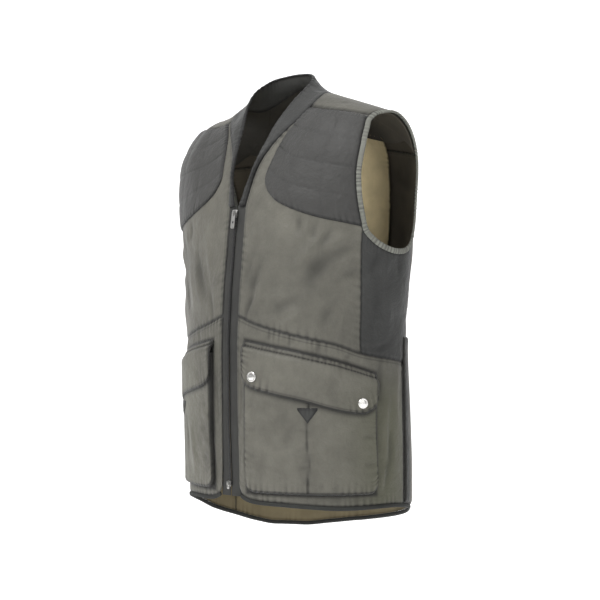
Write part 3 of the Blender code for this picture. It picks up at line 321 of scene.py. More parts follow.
def ridge_at(x):
    """Depth and height of the shoulder ridge at a distance from the centre"""
    share = (np.abs(x) - NECK_POINT[0]) / (SHOULDER_TIP[0] - NECK_POINT[0])
    y = NECK_POINT[1] + (SHOULDER_TIP[1] - NECK_POINT[1]) * np.clip(share, -0.3, 1.3)
    fall = RIDGE_SLOPE * (np.hypot(x, NECK_SOFTNESS) - math.hypot(NECK_POINT[0], NECK_SOFTNESS))
    rise = NECK_RISE * np.exp(-(x / NECK_RISE_WIDTH) ** 2)
    drop = RIGHT_SHOULDER_DROP * np.exp(-((x - RIGHT_DROP_X) / RIGHT_DROP_WIDTH) ** 2)
    return y, NECK_POINT[2] - fall + rise - drop


def form_points(places):
    """Points of the plain body form; a level above 0 runs on over the ridge to the other side"""
    around = places[..., 0]
    level = places[..., 1]
    around = np.where(around > 180.0, around - 360.0, around)
    around = np.where(level > 0, np.copysign(180.0 - np.abs(around), around), around)
    level = -np.abs(level)
    half_width, front_depth, back_depth, side_y, front_power, back_power = [
        smooth_between(SECTION_LEVELS, column, level) for column in SECTION_COLUMNS]
    angle = np.radians(np.abs(around))
    front = np.cos(angle) >= 0
    power = np.where(front, front_power, back_power)
    depth = np.where(front, -front_depth, back_depth)
    x = np.copysign(half_width * np.abs(np.sin(angle)) ** (2 / power), around)
    y = side_y + depth * np.abs(np.cos(angle)) ** (2 / power)
    outward = ease((np.abs(x) - 60) / 90)
    right_front = front & (x < 0)
    rounding = []
    for k in range(2):
        near = np.where(front, FRONT_NEAR_NECK[k], BACK_NEAR_NECK[k])
        far = np.where(right_front, RIGHT_FRONT_NEAR_ARMHOLE[k], NEAR_ARMHOLE[k])
        rounding.append(near + (far - near) * outward)
    reach, power = rounding
    share = (1 - (1 - np.minimum(-level / reach, 1.0)) ** power) ** (1 / power)
    ridge_y, ridge_z = ridge_at(x)
    z = level + ridge_z * ease(1 + level / SLOPE_FADE)
    return np.stack([x, ridge_y + (y - ridge_y) * share, z], axis=-1)


def form_normals(places):
    """Outward directions of the body form"""
    turn = np.array([0.5, 0.0])
    climb = np.array([0.0, 1.0])
    along = form_points(places + turn) - form_points(places - turn)
    up = form_points(places + climb) - form_points(places - climb)
    out = np.cross(along, up)
    return out / np.linalg.norm(out, axis=-1, keepdims=True)


def fold_heights(places, folds, bow=0.0):
    """Height of soft folds, each a ridge or a hollow with tapering ends; bow bends them a little"""
    here = form_points(places)
    height = np.zeros(here.shape[:-1])
    for number, fold in enumerate(folds):
        there = form_points(np.array([fold.around, fold.level], float))
        apart = here - there
        near = np.linalg.norm(apart, axis=-1) < fold.length
        if not near.any():
            continue
        turn = (places[..., 0] - fold.around + 180) % 360 - 180
        run = np.copysign(np.hypot(apart[..., 0], apart[..., 1]), turn)
        lean = math.radians(fold.lean)
        along = run * math.cos(lean) + apart[..., 2] * math.sin(lean)
        across = run * math.sin(lean) - apart[..., 2] * math.cos(lean)
        bend = bow * math.sin(number * 2.4)
        across = across + bend * (along / fold.length) ** 2 * fold.length
        taper = ease(1 - np.abs(along) / (fold.length / 2))
        height += np.where(near, fold.height * taper * np.exp(-(across / (fold.width / 2)) ** 2), 0.0)
    return height


def cloth_points(places, out):
    """Points of the worn cloth, moved out from the body form"""
    lift = out + fold_heights(places, FOLDS)
    return form_points(places) + form_normals(places) * lift[..., None]


def around_at(x, level):
    """The angle of the front of the form at a distance from the centre"""
    half_width = smooth_between(SECTION_LEVELS, SECTION_COLUMNS[0], level)
    power = smooth_between(SECTION_LEVELS, SECTION_COLUMNS[4], level)
    share = np.minimum(np.abs(x) / half_width, 1.0) ** (power / 2)
    return np.copysign(np.degrees(np.arcsin(share)), x)


def lengths_along(points):
    """How far along a line of points each of them is"""
    return np.concatenate([[0.0], np.cumsum(np.linalg.norm(np.diff(points, axis=0), axis=1))])


def curve_at(rows, k, t):
    """A smooth curve through the rows of a table, at a share t of the way from row k to the next"""
    a = rows[np.maximum(k - 1, 0)]
    b = rows[k]
    c = rows[k + 1]
    d = rows[np.minimum(k + 2, len(rows) - 1)]
    return 0.5 * (2 * b + (c - a) * t + (2 * a - 5 * b + 4 * c - d) * t * t
                  + (3 * b - a - 3 * c + d) * t ** 3)


def seam(rows, first=0, last=None):
    """A smooth line through a table of places, as a function of shares from 0 to 1 of its length"""
    last = len(rows) - 1 if last is None else last
    rows = np.array([tuple(row) for row in rows], float)
    fine = 8
    walk = []
    for k in range(first, last):
        for j in range(fine + (k == last - 1)):
            walk.append(curve_at(rows, k, j / fine))
    walk = np.array(walk)
    lengths = lengths_along(form_points(walk))

    def at(t):
        goal = np.clip(np.asarray(t, float), 0, 1) * lengths[-1]
        return np.stack([np.interp(goal, lengths, walk[:, k]) for k in range(2)], axis=-1)
    return at


def backwards(line):
    """The same line walked from its end"""
    return lambda t: line(1 - np.asarray(t, float))


def joined(parts):
    """Several lines, each with its share of the steps, walked one after the other"""
    def at(t):
        t = np.asarray(t, float)
        found = parts[0][0]((t - parts[0][1]) / (parts[0][2] - parts[0][1]))
        for line, start, end in parts[1:]:
            found = np.where((t > start)[..., None], line((t - start) / (end - start)), found)
        return found
    return at


def straight(a, b):
    """A straight line between two places"""
    a = np.array(a, float)
    b = np.array(b, float)
    return lambda t: a + (b - a) * np.asarray(t, float)[..., None]


def raised(rows, lift):
    """A table of places moved up by a height"""
    return tuple(Place(row.around, row.level + lift) for row in rows)


def fill(bottom, top, start, end, u, v):
    """Places between four seam lines, for steps u along them and v up them"""
    low = bottom(u)[None, :, :]
    high = top(u)[None, :, :]
    near = start(v)[:, None, :]
    far = end(v)[:, None, :]
    u = u[None, :, None]
    v = v[:, None, None]
    corners = low[:, :1], low[:, -1:], high[:, :1], high[:, -1:]
    ruled = (1 - v) * low + v * high + (1 - u) * near + u * far
    return ruled - ((1 - u) * (1 - v) * corners[0] + u * (1 - v) * corners[1]
                    + (1 - u) * v * corners[2] + u * v * corners[3])


def steps(count, crowd=0.6, keep=()):
    """Shares from 0 to 1 that crowd towards both ends, where the sewing is; keep lists shares to hit"""
    t = np.linspace(0, 1, count + 1)
    t = t - crowd * np.sin(2 * np.pi * t) / (2 * np.pi)
    for share in keep:
        t[np.argmin(np.abs(t - share))] = share
    return t


def uneven(s, length, seed):
    """A smooth uneven line between -1 and 1 whose waves are about a length long"""
    draw = np.random.default_rng(seed)
    knots = draw.uniform(-1, 1, 4096)
    at = np.abs(np.asarray(s, float)) / length * 2 + 7
    k = np.floor(at).astype(int) % 4094
    return knots[k] + (knots[k + 1] - knots[k]) * ease(at - np.floor(at))


def pucker(s, pitch, seed):
    """Short uneven waves along a seam, where the thread has drawn the cloth in"""
    phase = 2 * np.pi * s / pitch + 2.4 * uneven(s, pitch * 3, seed)
    return np.sin(phase) * np.clip(0.45 + 0.9 * uneven(s, pitch * 5, seed + 1), 0.06, 1.25)


# How one edge of a piece is worked: how far it dips and over what width, how high its puckers are,
# their pitch and reach, and how far in its top stitching runs (0 for none)
Work = namedtuple("Work", "dip dip_width pucker pitch reach stitch")
PLAIN = Work(0.0, 1.0, 0.0, 8.0, 8.0, 0.0)
SEWN = Work(1.1, 2.8, 0.40, 9.0, 10.0, 4.6)
WAIST = Work(1.6, 3.8, 0.45, 9.5, 12.0, 6.2)
ABOVE_WAIST = Work(1.3, 3.4, 0.32, 12.0, 10.0, 0.0)
OVERLAID = Work(0.9, 2.4, 0.50, 8.5, 10.0, 3.0)
SIDE = Work(0.8, 2.2, 0.25, 12.0, 9.0, 0.0)
HEMMED = Work(0.5, 2.4, 0.35, 10.5, 11.0, 0.0)
BOUND = Work(0.4, 3.0, 0.35, 7.0, 9.0, 0.0)
ROLLED = Work(1.3, 2.0, 0.75, 9.5, 13.0, 4.4)
POCKET_EDGE = Work(0.9, 5.6, 0.85, 10.0, 13.0, 7.0)
PIPED = Work(0.3, 9.0, 0.2, 12.0, 8.0, 0.0)
FACED = Work(0.8, 2.2, 0.35, 12.0, 9.0, 4.0)
TAPE_EDGE = Work(1.0, 2.4, 0.0, 9.0, 9.0, 0.0)


def edge_runs(points):
    """For each point of a grid, how far it is from the four edges, and how far along them"""
    across = np.linalg.norm(np.diff(points, axis=1), axis=2)
    up = np.linalg.norm(np.diff(points, axis=0), axis=2)
    from_start = np.concatenate([np.zeros((len(points), 1)), np.cumsum(across, axis=1)], axis=1)
    from_bottom = np.concatenate([np.zeros((1, points.shape[1])), np.cumsum(up, axis=0)], axis=0)
    from_end = from_start[:, -1:] - from_start
    from_top = from_bottom[-1:, :] - from_bottom
    along = np.broadcast_to(from_start[len(points) // 2], from_start.shape)
    climb = np.broadcast_to(from_bottom[:, points.shape[1] // 2][:, None], from_bottom.shape)
    return {"bottom": (from_bottom, along), "top": (from_top, along),
            "start": (from_start, climb), "end": (from_end, climb)}


def worked_edges(points, works, seed):
    """Relief of the sewing round a piece, and how worn and how shaded the cloth is there"""
    runs = edge_runs(points)
    height = np.zeros(points.shape[:2])
    shade = np.zeros(points.shape[:2])
    wear = np.zeros(points.shape[:2])
    for number, (side, work) in enumerate(works.items()):
        away, along = runs[side]
        edge_seed = seed * 10 + number
        dip = work.dip * np.exp(-(away / work.dip_width) ** 2)
        height -= dip * (1 + 0.3 * uneven(along, 14, edge_seed))
        wave = pucker(along, work.pitch, edge_seed)
        fade = np.exp(-(away / work.reach) ** 1.4)
        height += work.pucker * wave * fade
        shade += 0.9 * np.exp(-(away / (work.dip_width * 0.8)) ** 2) * min(work.dip * 1.2, 1.0)
        shade += 0.55 * fade * np.clip(-wave, 0, 1) * min(work.pucker * 2, 1)
        wear += fade * np.clip(wave, 0, 1) * min(work.pucker * 2.2, 1)
        if work.stitch:
            line = np.exp(-((away - work.stitch) / 0.9) ** 2)
            height -= 0.3 * line
            shade += 0.45 * line
            wear += 0.5 * np.exp(-((away - work.stitch * 0.5) / 1.2) ** 2)
    return height, shade, wear


# Making pieces

GARMENT = "garment"
THREAD_LINES = []


def add_new(operator, name, **settings):
    """Adds an object with one of Blender's operators and names it"""
    bpy.ops.object.select_all(action="DESELECT")
    operator(**settings)
    made = bpy.context.object
    made.name = name
    return made


def choose(made):
    """Selects one object and no other"""
    bpy.ops.object.select_all(action="DESELECT")
    made.select_set(True)
    bpy.context.view_layer.objects.active = made


def new_grid(name, columns, rows):
    """A flat grid of faces to be laid on the form"""
    made = add_new(bpy.ops.mesh.primitive_grid_add, f"{name}_finished", x_subdivisions=columns,
                   y_subdivisions=rows, size=1.0)
    if len(made.data.vertices) != (columns + 1) * (rows + 1):
        raise RuntimeError(f"{name}: the grid has {len(made.data.vertices)} corners")
    return made


def put_points(made, points):
    """Moves a mesh's vertices to points in millimetres, and its object to the origin"""
    made.matrix_world = Matrix.Identity(4)
    flat = np.ascontiguousarray(np.asarray(points, float).reshape(-1) * MM)
    made.data.vertices.foreach_set("co", flat)
    made.data.update()


def put_lengths(made, u, v):
    """A UV map in real metres, so that a weave keeps its size on every piece"""
    layer = made.data.uv_layers[0] if made.data.uv_layers else made.data.uv_layers.new(name="cloth")
    corners = np.empty(len(made.data.loops), dtype=int)
    made.data.loops.foreach_get("vertex_index", corners)
    flat = np.stack([u.reshape(-1)[corners], v.reshape(-1)[corners]], axis=-1) * MM
    layer.data.foreach_set("uv", np.ascontiguousarray(flat.reshape(-1)))


def put_painted_shade_wear_tint(made, shade, wear, olive):
    """Stores the painted shade, how worn and how green each place is, for the materials"""
    painted_shade_wear_tint = made.data.attributes.new("painted_shade_wear_tint", "FLOAT_COLOR", "POINT")
    full = np.stack([np.clip(shade, 0, 1), np.clip(wear, 0, 1), np.clip(olive, 0, 1),
                     np.ones_like(shade)], axis=-1)
    painted_shade_wear_tint.data.foreach_set("color", np.ascontiguousarray(full.reshape(-1)))


def apply_modifier(made, kind, **settings):
    """Adds one modifier, sets it and applies it"""
    modifier = made.modifiers.new(kind.lower(), kind)
    for key, value in settings.items():
        setattr(modifier, key, value)
    choose(made)
    bpy.ops.object.modifier_apply(modifier=modifier.name)


def smooth(made, angle=50.0):
    """Smooth shading with its sharp edges kept"""
    choose(made)
    bpy.ops.object.shade_smooth_by_angle(angle=math.radians(angle))


def edit_all(made):
    """Opens a piece in edit mode with everything selected"""
    choose(made)
    bpy.ops.object.mode_set(mode="EDIT")
    bpy.ops.mesh.select_all(action="SELECT")


def close_edit():
    """Turns every face of the open piece outwards and leaves edit mode"""
    bpy.ops.mesh.select_all(action="SELECT")
    bpy.ops.mesh.normals_make_consistent(inside=False)
    bpy.ops.object.mode_set(mode="OBJECT")


def dress(made, finishes, body=GARMENT, nodes=None):
    """Gives a piece its materials and its body, and hides the CAD parts it stands in for"""
    while len(made.data.materials) < len(finishes):
        made.data.materials.append(None)
    for number, finish in enumerate(finishes):
        made.data.materials[number] = bpy.data.materials[finish]
    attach(made, body)
    if nodes:
        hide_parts(*nodes)


def other_side(places, side):
    """Places as they are for the wearer's left, or turned to the right with the columns reversed"""
    if side > 0:
        return places
    turned = places[:, ::-1].copy()
    turned[..., 0] *= -1
    return turned


def side_works(works, side):
    """The work on the edges, with start and end changed over on the wearer's right"""
    if side > 0:
        return works
    turned = dict(works)
    turned["start"] = works.get("end", PLAIN)
    turned["end"] = works.get("start", PLAIN)
    return turned


def side_name(name, side):
    """Piece names end in left or right as worn"""
    return f"{name}_{'left' if side > 0 else 'right'}"


def line_at(points, normals, side, inset):
    """The line on a laid piece that runs a distance in from one edge"""
    away = edge_runs(points)[side][0]
    if side in ("start", "end"):
        points = points.transpose(1, 0, 2)
        normals = normals.transpose(1, 0, 2)
        away = away.T
    line = []
    faces = []
    for k in range(points.shape[1]):
        order = np.argsort(away[:, k])
        line.append([np.interp(inset, away[order, k], points[order, k, c]) for c in range(3)])
        faces.append([np.interp(inset, away[order, k], normals[order, k, c]) for c in range(3)])
    return np.array(line), np.array(faces)


def turn_under(laid, normals, works):
    """Carries each sewn edge on past its seam and down, as the seam allowance goes"""
    laid = laid.copy()
    for side, work in works.items():
        if work.dip == 0:
            continue
        grid = laid if side in ("bottom", "top") else laid.transpose(1, 0, 2)
        faces = normals if side in ("bottom", "top") else normals.transpose(1, 0, 2)
        edge, inner = (0, 1) if side in ("bottom", "start") else (-1, -2)
        away = grid[edge] - grid[inner]
        away = away / np.linalg.norm(away, axis=1, keepdims=True)
        grid[edge] = grid[edge] + away * ALLOWANCE - faces[edge] * ALLOWANCE_DROP
    return laid


def lay(name, points, normals, thickness, works, seed, lift=None, olive=None, offset=-1.0, rim=0.35,
        dark=0.0):
    """A sheet of cloth through a grid of points, worked along its edges, with its real thickness"""
    rows, columns = points.shape[0] - 1, points.shape[1] - 1
    height, shade, wear = worked_edges(points, works, seed)
    if lift is not None:
        height = height + lift
        shade = shade + np.clip(-lift, 0, 3) * 0.14
        wear = wear + np.clip(lift, 0, 3) * 0.12
    shade = shade + dark
    laid = turn_under(points + normals * height[..., None], normals, works)
    made = new_grid(name, columns, rows)
    put_points(made, laid)
    runs = edge_runs(points)
    put_lengths(made, runs["start"][0], runs["bottom"][0])
    put_painted_shade_wear_tint(made, shade, wear, np.zeros_like(shade) if olive is None else olive)
    for side, work in works.items():
        if work.stitch:
            THREAD_LINES.append(line_at(laid, normals, side, work.stitch))
    for _ in range(2):
        made.data.materials.append(None)
    apply_modifier(made, "SOLIDIFY", thickness=thickness * MM, offset=offset, material_offset=1,
                   material_offset_rim=0, use_quality_normals=True)
    apply_modifier(made, "BEVEL", width=min(rim, thickness * 0.4) * MM, segments=2,
                   limit_method="ANGLE", angle_limit=math.radians(58), use_clamp_overlap=True)
    smooth(made)
    return made


def green_at(places):
    """Where the wax has a greener cast: low on the sides, and over the wearer's right pocket"""
    low = ease((-415 - places[..., 1]) / 90)
    beside = np.exp(-((np.abs(places[..., 0]) - 90) / 22) ** 2)
    right = ease((-places[..., 0] - 12) / 20) * ease((-380 - places[..., 1]) / 60)
    return np.clip(np.maximum(low * beside, 0.5 * right), 0, 1)


def cloth_piece(name, places, works, seed, out=0.0, thickness=CLOTH, side=1, relief=None,
                creases=CREASES, rim=0.35, dark=None):
    """One cut piece laid on the form; relief is more height and dark more shade for each place"""
    places = other_side(places, side)
    dark = np.zeros(places.shape[:2]) if dark is None else dark[:, ::side]
    if isinstance(out, np.ndarray) and side < 0:
        out = out[:, ::-1]
    if relief is not None and side < 0:
        relief = relief[:, ::-1]
    normals = form_normals(places)
    lift = CREASE_GAIN * fold_heights(places, creases, bow=0.5)
    if relief is not None:
        lift = lift + relief
    points = form_points(places) + normals * (out + fold_heights(places, FOLDS))[..., None]
    return lay(name, points, normals, thickness, side_works(works, side), seed, lift=lift,
               olive=green_at(places), rim=rim, dark=dark)


# Sizes of the cut pieces laid flat, in metres: width, length and area
Cut = namedtuple("Cut", "width length area")


# Materials

class GiletColours(bpy.types.PropertyGroup):
    """Colours and wear of the gilet"""
    cloth: FloatVectorProperty(name="Cloth", description="Waxed cloth where it is lit", size=3,
                               subtype="COLOR", min=0.0, max=1.0, default=(0.103, 0.0990, 0.082))
    dark_cloth: FloatVectorProperty(name="Dark cloth", description="Side panels and neck band", size=3,
                                    subtype="COLOR", min=0.0, max=1.0, default=(0.0300, 0.0305, 0.0290))
    patch: FloatVectorProperty(name="Patches", description="Quilted shoulder patches", size=3,
                               subtype="COLOR", min=0.0, max=1.0, default=(0.0375, 0.0370, 0.0350))
    lining: FloatVectorProperty(name="Lining", description="Lining of the back", size=3,
                                subtype="COLOR", min=0.0, max=1.0, default=(0.64, 0.53, 0.31))
    inner: FloatVectorProperty(name="Inner cloth", description="Inner side of the cloth", size=3,
                               subtype="COLOR", min=0.0, max=1.0, default=(0.040, 0.040, 0.037))
    binding: FloatVectorProperty(name="Binding", description="Binding of the armholes", size=3,
                                 subtype="COLOR", min=0.0, max=1.0, default=(0.215, 0.218, 0.192))
    metal: FloatVectorProperty(name="Metal", description="Studs, sliders and pulls", size=3,
                               subtype="COLOR", min=0.0, max=1.0, default=(0.80, 0.79, 0.76))
    wear: FloatProperty(name="Wear", description="How light the rubbed ridges are", default=0.5,
                        min=0.0, max=1.0)


class NodeTree:
    """Short ways to add and join shader nodes"""

    def __init__(self, name):
        self.material = bpy.data.materials.new(name)
        self.material.use_nodes = True
        self.nodes = self.material.node_tree.nodes
        self.links = self.material.node_tree.links
        self.shader = self.nodes["Principled BSDF"]

    def add(self, kind, **settings):
        node = self.nodes.new(kind)
        for key, value in settings.items():
            if key.startswith("in_"):
                node.inputs[key[3:].replace("_", " ")].default_value = value
            else:
                setattr(node, key, value)
        return node

    def join(self, a, b):
        self.links.new(a, b)

    def noise(self, vector, scale, detail, roughness=0.55, stretch=(1, 1, 1)):
        mapping = self.add("ShaderNodeMapping")
        mapping.inputs["Scale"].default_value = stretch
        self.join(vector, mapping.inputs["Vector"])
        noise = self.add("ShaderNodeTexNoise", in_Scale=scale, in_Detail=detail, in_Roughness=roughness)
        self.join(mapping.outputs["Vector"], noise.inputs["Vector"])
        return noise.outputs["Fac"]

    def span(self, value, low, high, to_low, to_high):
        node = self.add("ShaderNodeMapRange")
        for index, number in zip((1, 2, 3, 4), (low, high, to_low, to_high)):
            node.inputs[index].default_value = number
        self.join(value, node.inputs[0])
        return node.outputs[0]

    def maths(self, kind, a, b):
        node = self.add("ShaderNodeMath", operation=kind)
        for socket, value in zip(node.inputs, (a, b)):
            if isinstance(value, (int, float)):
                socket.default_value = value
            else:
                self.join(value, socket)
        return node.outputs[0]

    def mix(self, share, a, b):
        node = self.add("ShaderNodeMix", data_type="RGBA")
        self.join(share, node.inputs[0])
        for socket, value in ((node.inputs[6], a), (node.inputs[7], b)):
            if isinstance(value, (tuple, list)):
                socket.default_value = value
            else:
                self.join(value, socket)
        return node.outputs[2]


def rgba(colour, gain=1.0):
    """A colour and its alpha, made lighter or darker"""
    return tuple(min(float(c) * gain, 1.0) for c in colour) + (1.0,)


def waxed(name, colour, wear, mottle=0.22):
    """Waxed cotton: cloudy wax, streaks down the cloth, fine weave, pale wear on the ridges, and the
    painted shade stored on each piece
    """
    tree = NodeTree(name)
    place = tree.add("ShaderNodeTexCoord")
    along = tree.add("ShaderNodeUVMap")
    painted_shade_wear_tint = tree.add("ShaderNodeAttribute", attribute_name="painted_shade_wear_tint")
    parts = tree.add("ShaderNodeSeparateColor")
    tree.join(painted_shade_wear_tint.outputs["Color"], parts.inputs["Color"])
    clouds = tree.noise(place.outputs["Object"], 14.0, 5.0)
    streaks = tree.noise(along.outputs["UV"], 60.0, 4.0, stretch=(1.0, 0.16, 1.0))
    specks = tree.noise(place.outputs["Object"], 420.0, 3.0, 0.7)
    blotches = tree.noise(place.outputs["Object"], 44.0, 4.0, 0.6)
    cloudy = tree.maths("ADD", tree.maths("MULTIPLY", clouds, 0.6), tree.maths("MULTIPLY", blotches, 0.4))
    tone = tree.span(cloudy, 0.38, 0.62, 0.0, 1.0)
    plain = tree.mix(tone, rgba(colour, 1 - mottle), rgba(colour, 1 + mottle))
    light = tree.span(streaks, 0.35, 0.70, 0.0, 0.30)
    streaked = tree.mix(light, plain, rgba(colour, 1.22))
    grain = tree.span(specks, 0.30, 0.70, 0.0, 0.34)
    speckled = tree.mix(grain, streaked, rgba(colour, 0.72))
    green = (colour[0] * 0.80, colour[1] * 0.84, colour[2] * 0.62)
    tinted = tree.mix(tree.maths("MULTIPLY", parts.outputs["Blue"], 0.75), speckled, rgba(green))
    # pale wear on the rubbed ridges, then the painted shade stored on each piece
    wear_and_painted_shade = tree.mix(tree.maths("MULTIPLY", parts.outputs["Green"], wear), tinted, rgba(colour, 1.55))
    shaded = tree.mix(tree.maths("MULTIPLY", parts.outputs["Red"], 0.96), wear_and_painted_shade, rgba(colour, 0.07))
    tree.join(shaded, tree.shader.inputs["Base Color"])
    tree.join(tree.span(clouds, 0.3, 0.7, 0.60 + 0.07, 0.60 - 0.07), tree.shader.inputs["Roughness"])
    tree.shader.inputs["Specular IOR Level"].default_value = 0.35
    tree.shader.inputs["Sheen Weight"].default_value = 0.10
    tree.shader.inputs["Sheen Roughness"].default_value = 0.5
    weave = tree.noise(along.outputs["UV"], 1500.0, 1.0)
    ripples = tree.noise(place.outputs["Object"], 60.0, 5.0, 0.62)
    fine = tree.add("ShaderNodeBump", in_Strength=0.25, in_Distance=0.00025)
    soft = tree.add("ShaderNodeBump", in_Strength=0.9, in_Distance=0.0030)
    tree.join(weave, fine.inputs["Height"])
    tree.join(ripples, soft.inputs["Height"])
    tree.join(soft.outputs["Normal"], fine.inputs["Normal"])
    tree.join(fine.outputs["Normal"], tree.shader.inputs["Normal"])
    return tree.material


def woven(name, colour):
    """Plain woven cloth: lining, binding and zip tape, darkened by the painted shade stored on each piece
    """
    tree = NodeTree(name)
    along = tree.add("ShaderNodeUVMap")
    place = tree.add("ShaderNodeTexCoord")
    clouds = tree.noise(place.outputs["Object"], 30.0, 4.0)
    shade = tree.mix(tree.span(clouds, 0.3, 0.7, 0.0, 1.0), rgba(colour, 0.86), rgba(colour, 1.12))
    painted_shade_wear_tint = tree.add("ShaderNodeAttribute", attribute_name="painted_shade_wear_tint")
    parts = tree.add("ShaderNodeSeparateColor")
    tree.join(painted_shade_wear_tint.outputs["Color"], parts.inputs["Color"])
    shaded = tree.mix(tree.maths("MULTIPLY", parts.outputs["Red"], 0.85), shade, rgba(colour, 0.16))
    tree.join(shaded, tree.shader.inputs["Base Color"])
    tree.shader.inputs["Roughness"].default_value = 0.75
    tree.shader.inputs["Specular IOR Level"].default_value = 0.25
    weave = tree.noise(along.outputs["UV"], 1300.0, 1.0)
    fine = tree.add("ShaderNodeBump", in_Strength=0.35, in_Distance=0.0003)
    tree.join(weave, fine.inputs["Height"])
    tree.join(fine.outputs["Normal"], tree.shader.inputs["Normal"])
    return tree.material


def plain(name, colour, roughness, metallic=0.0):
    """An even finish, with a little unevenness in its gloss"""
    tree = NodeTree(name)
    place = tree.add("ShaderNodeTexCoord")
    rub = tree.noise(place.outputs["Object"], 260.0, 3.0)
    tree.shader.inputs["Base Color"].default_value = rgba(colour)
    tree.shader.inputs["Metallic"].default_value = metallic
    tree.join(tree.span(rub, 0.3, 0.7, roughness - 0.06, roughness + 0.06),
              tree.shader.inputs["Roughness"])
    return tree.material


class GILET_OT_materials(bpy.types.Operator):
    """Makes the cloths, bindings, thread and metal"""
    bl_idname = "gilet.materials"
    bl_label = "Make Materials"

    def execute(self, context):
        look = context.scene.gilet_colours
        waxed("waxed cotton", tuple(look.cloth), look.wear)
        waxed("dark waxed cotton", tuple(look.dark_cloth), look.wear * 0.7, mottle=0.12)
        waxed("patch cotton", tuple(look.patch), look.wear * 0.6, mottle=0.10)
        woven("back lining", tuple(look.lining))
        woven("inner cotton", tuple(look.inner))
        woven("facing cotton", (0.080, 0.072, 0.056))
        woven("inner back cotton", (0.078, 0.067, 0.048))
        woven("inner skirt cotton", tuple(c * 0.27 for c in look.lining))
        woven("armhole binding", tuple(look.binding))
        woven("hem binding", (0.026, 0.027, 0.025))
        woven("zip cloth", (0.036, 0.036, 0.034))
        plain("tooth plastic", (0.018, 0.018, 0.018), 0.35)
        plain("thread", (0.050, 0.050, 0.045), 0.6)
        plain("stud metal", tuple(look.metal), 0.22, metallic=1.0)
        plain("slider metal", tuple(c * 0.5 for c in look.metal), 0.38, metallic=1.0)
        return {"FINISHED"}


WAXED = ("waxed cotton", "inner cotton")
DARK = ("dark waxed cotton", "inner cotton")
BACK_WAXED = ("waxed cotton", "inner skirt cotton")


# Pieces

def front_places(side, columns, rows):
    """An upper front, from the zip and neck to the armhole and side panel, down to the waist"""
    zip_share = 6 / 18
    armhole_share = 12 / 18
    levels = (-349, -300, -250, -210, -180)
    zip_edge = seam([Place(float(around_at(FRONT_EDGE[side], z)), z) for z in levels])
    neck = seam(NECK_SEAM, 0, NECK_AT_YOKE_SEAM)
    inner = joined([(zip_edge, 0, zip_share), (neck, zip_share, 1)])
    outer = joined([(backwards(seam(SIDE_FRONT_SEAM)), 0, 1 - armhole_share),
                    (backwards(seam(ARMHOLE, 0, ARMHOLE_AT_SIDE_FRONT)), 1 - armhole_share, 1)])
    waist = seam(WAIST_SEAM, 0, WAIST_AT_SIDE_FRONT)
    return fill(waist, seam(YOKE_FRONT_SEAM), inner, outer, steps(columns),
                steps(rows, 0.5, keep=(zip_share,)))


class GILET_OT_fronts(bpy.types.Operator):
    """Upper fronts in waxed cotton"""
    bl_idname = "gilet.fronts"
    bl_label = "Sew Fronts"

    def execute(self, context):
        works = {"bottom": ABOVE_WAIST, "top": SEWN, "start": FACED, "end": SIDE}
        for side in (1, -1):
            name = side_name("front", side)
            places = front_places(side, 110, 140)
            # painted shade: the fronts grow darker towards the waist, where less light falls
            wear_and_painted_shade = 0.15 * ease((-190 - places[..., 1]) / 110)
            made = cloth_piece(name, places, works, 3 + side, side=side, dark=wear_and_painted_shade)
            dress(made, WAXED, nodes=[name])
        return {"FINISHED"}


def patch_places(columns, rows):
    """A shoulder patch between the neck, the yoke and the armhole"""
    armhole = seam(ARMHOLE, 0, ARMHOLE_AT_SIDE_FRONT)
    return fill(seam(PATCH_LOWER), seam(PATCH_TOP), backwards(seam(PATCH_INNER)),
                lambda t: armhole(1 - 0.03 - 0.94 * np.asarray(t)), steps(columns, 0.35), steps(rows, 0.35))


def quilting(columns, rows):
    """Pillows between the quilting lines, sunk sharply where the stitches run"""
    u = steps(columns, 0.35)[None, :]
    v = steps(rows, 0.35)[:, None]
    across = np.abs(np.sin(np.pi * QUILT_COLUMNS * u))
    down = np.abs(np.sin(np.pi * QUILT_ROWS * v))
    return (across * down) ** 0.35


class GILET_OT_patches(bpy.types.Operator):
    """Quilted patches on both shoulders"""
    bl_idname = "gilet.patches"
    bl_label = "Quilt Shoulder Patches"

    def execute(self, context):
        works = {"bottom": OVERLAID, "top": OVERLAID, "start": OVERLAID, "end": SIDE}
        columns, rows = 84, 110
        pillows = quilting(columns, rows)
        for side in (1, -1):
            name = side_name("shoulder_patch", side)
            # painted shade along the sunk quilting lines between the pillows
            made = cloth_piece(name, patch_places(columns, rows), works, 13 + side, side=side,
                               out=LAY_ON + PATCH_CLOTH, thickness=PATCH_CLOTH,
                               relief=QUILT_HEIGHT * pillows,
                               dark=0.16 * (1 - pillows) ** 2)
            dress(made, ("patch cotton", "inner cotton"), nodes=[name])
        return {"FINISHED"}


def over_shoulder(place):
    """A place on the back written as a run over the ridge from the front"""
    if place.around > 90:
        return Place(180 - place.around, abs(place.level))
    return place


SHOULDER_FRONT = seam([Place(53.2, -11), Place(53.6, -5), OVER_TIP])
SHOULDER_BACK = seam([OVER_TIP] + [over_shoulder(ARMHOLE[k]) for k in (20, 19, 18, 17)])


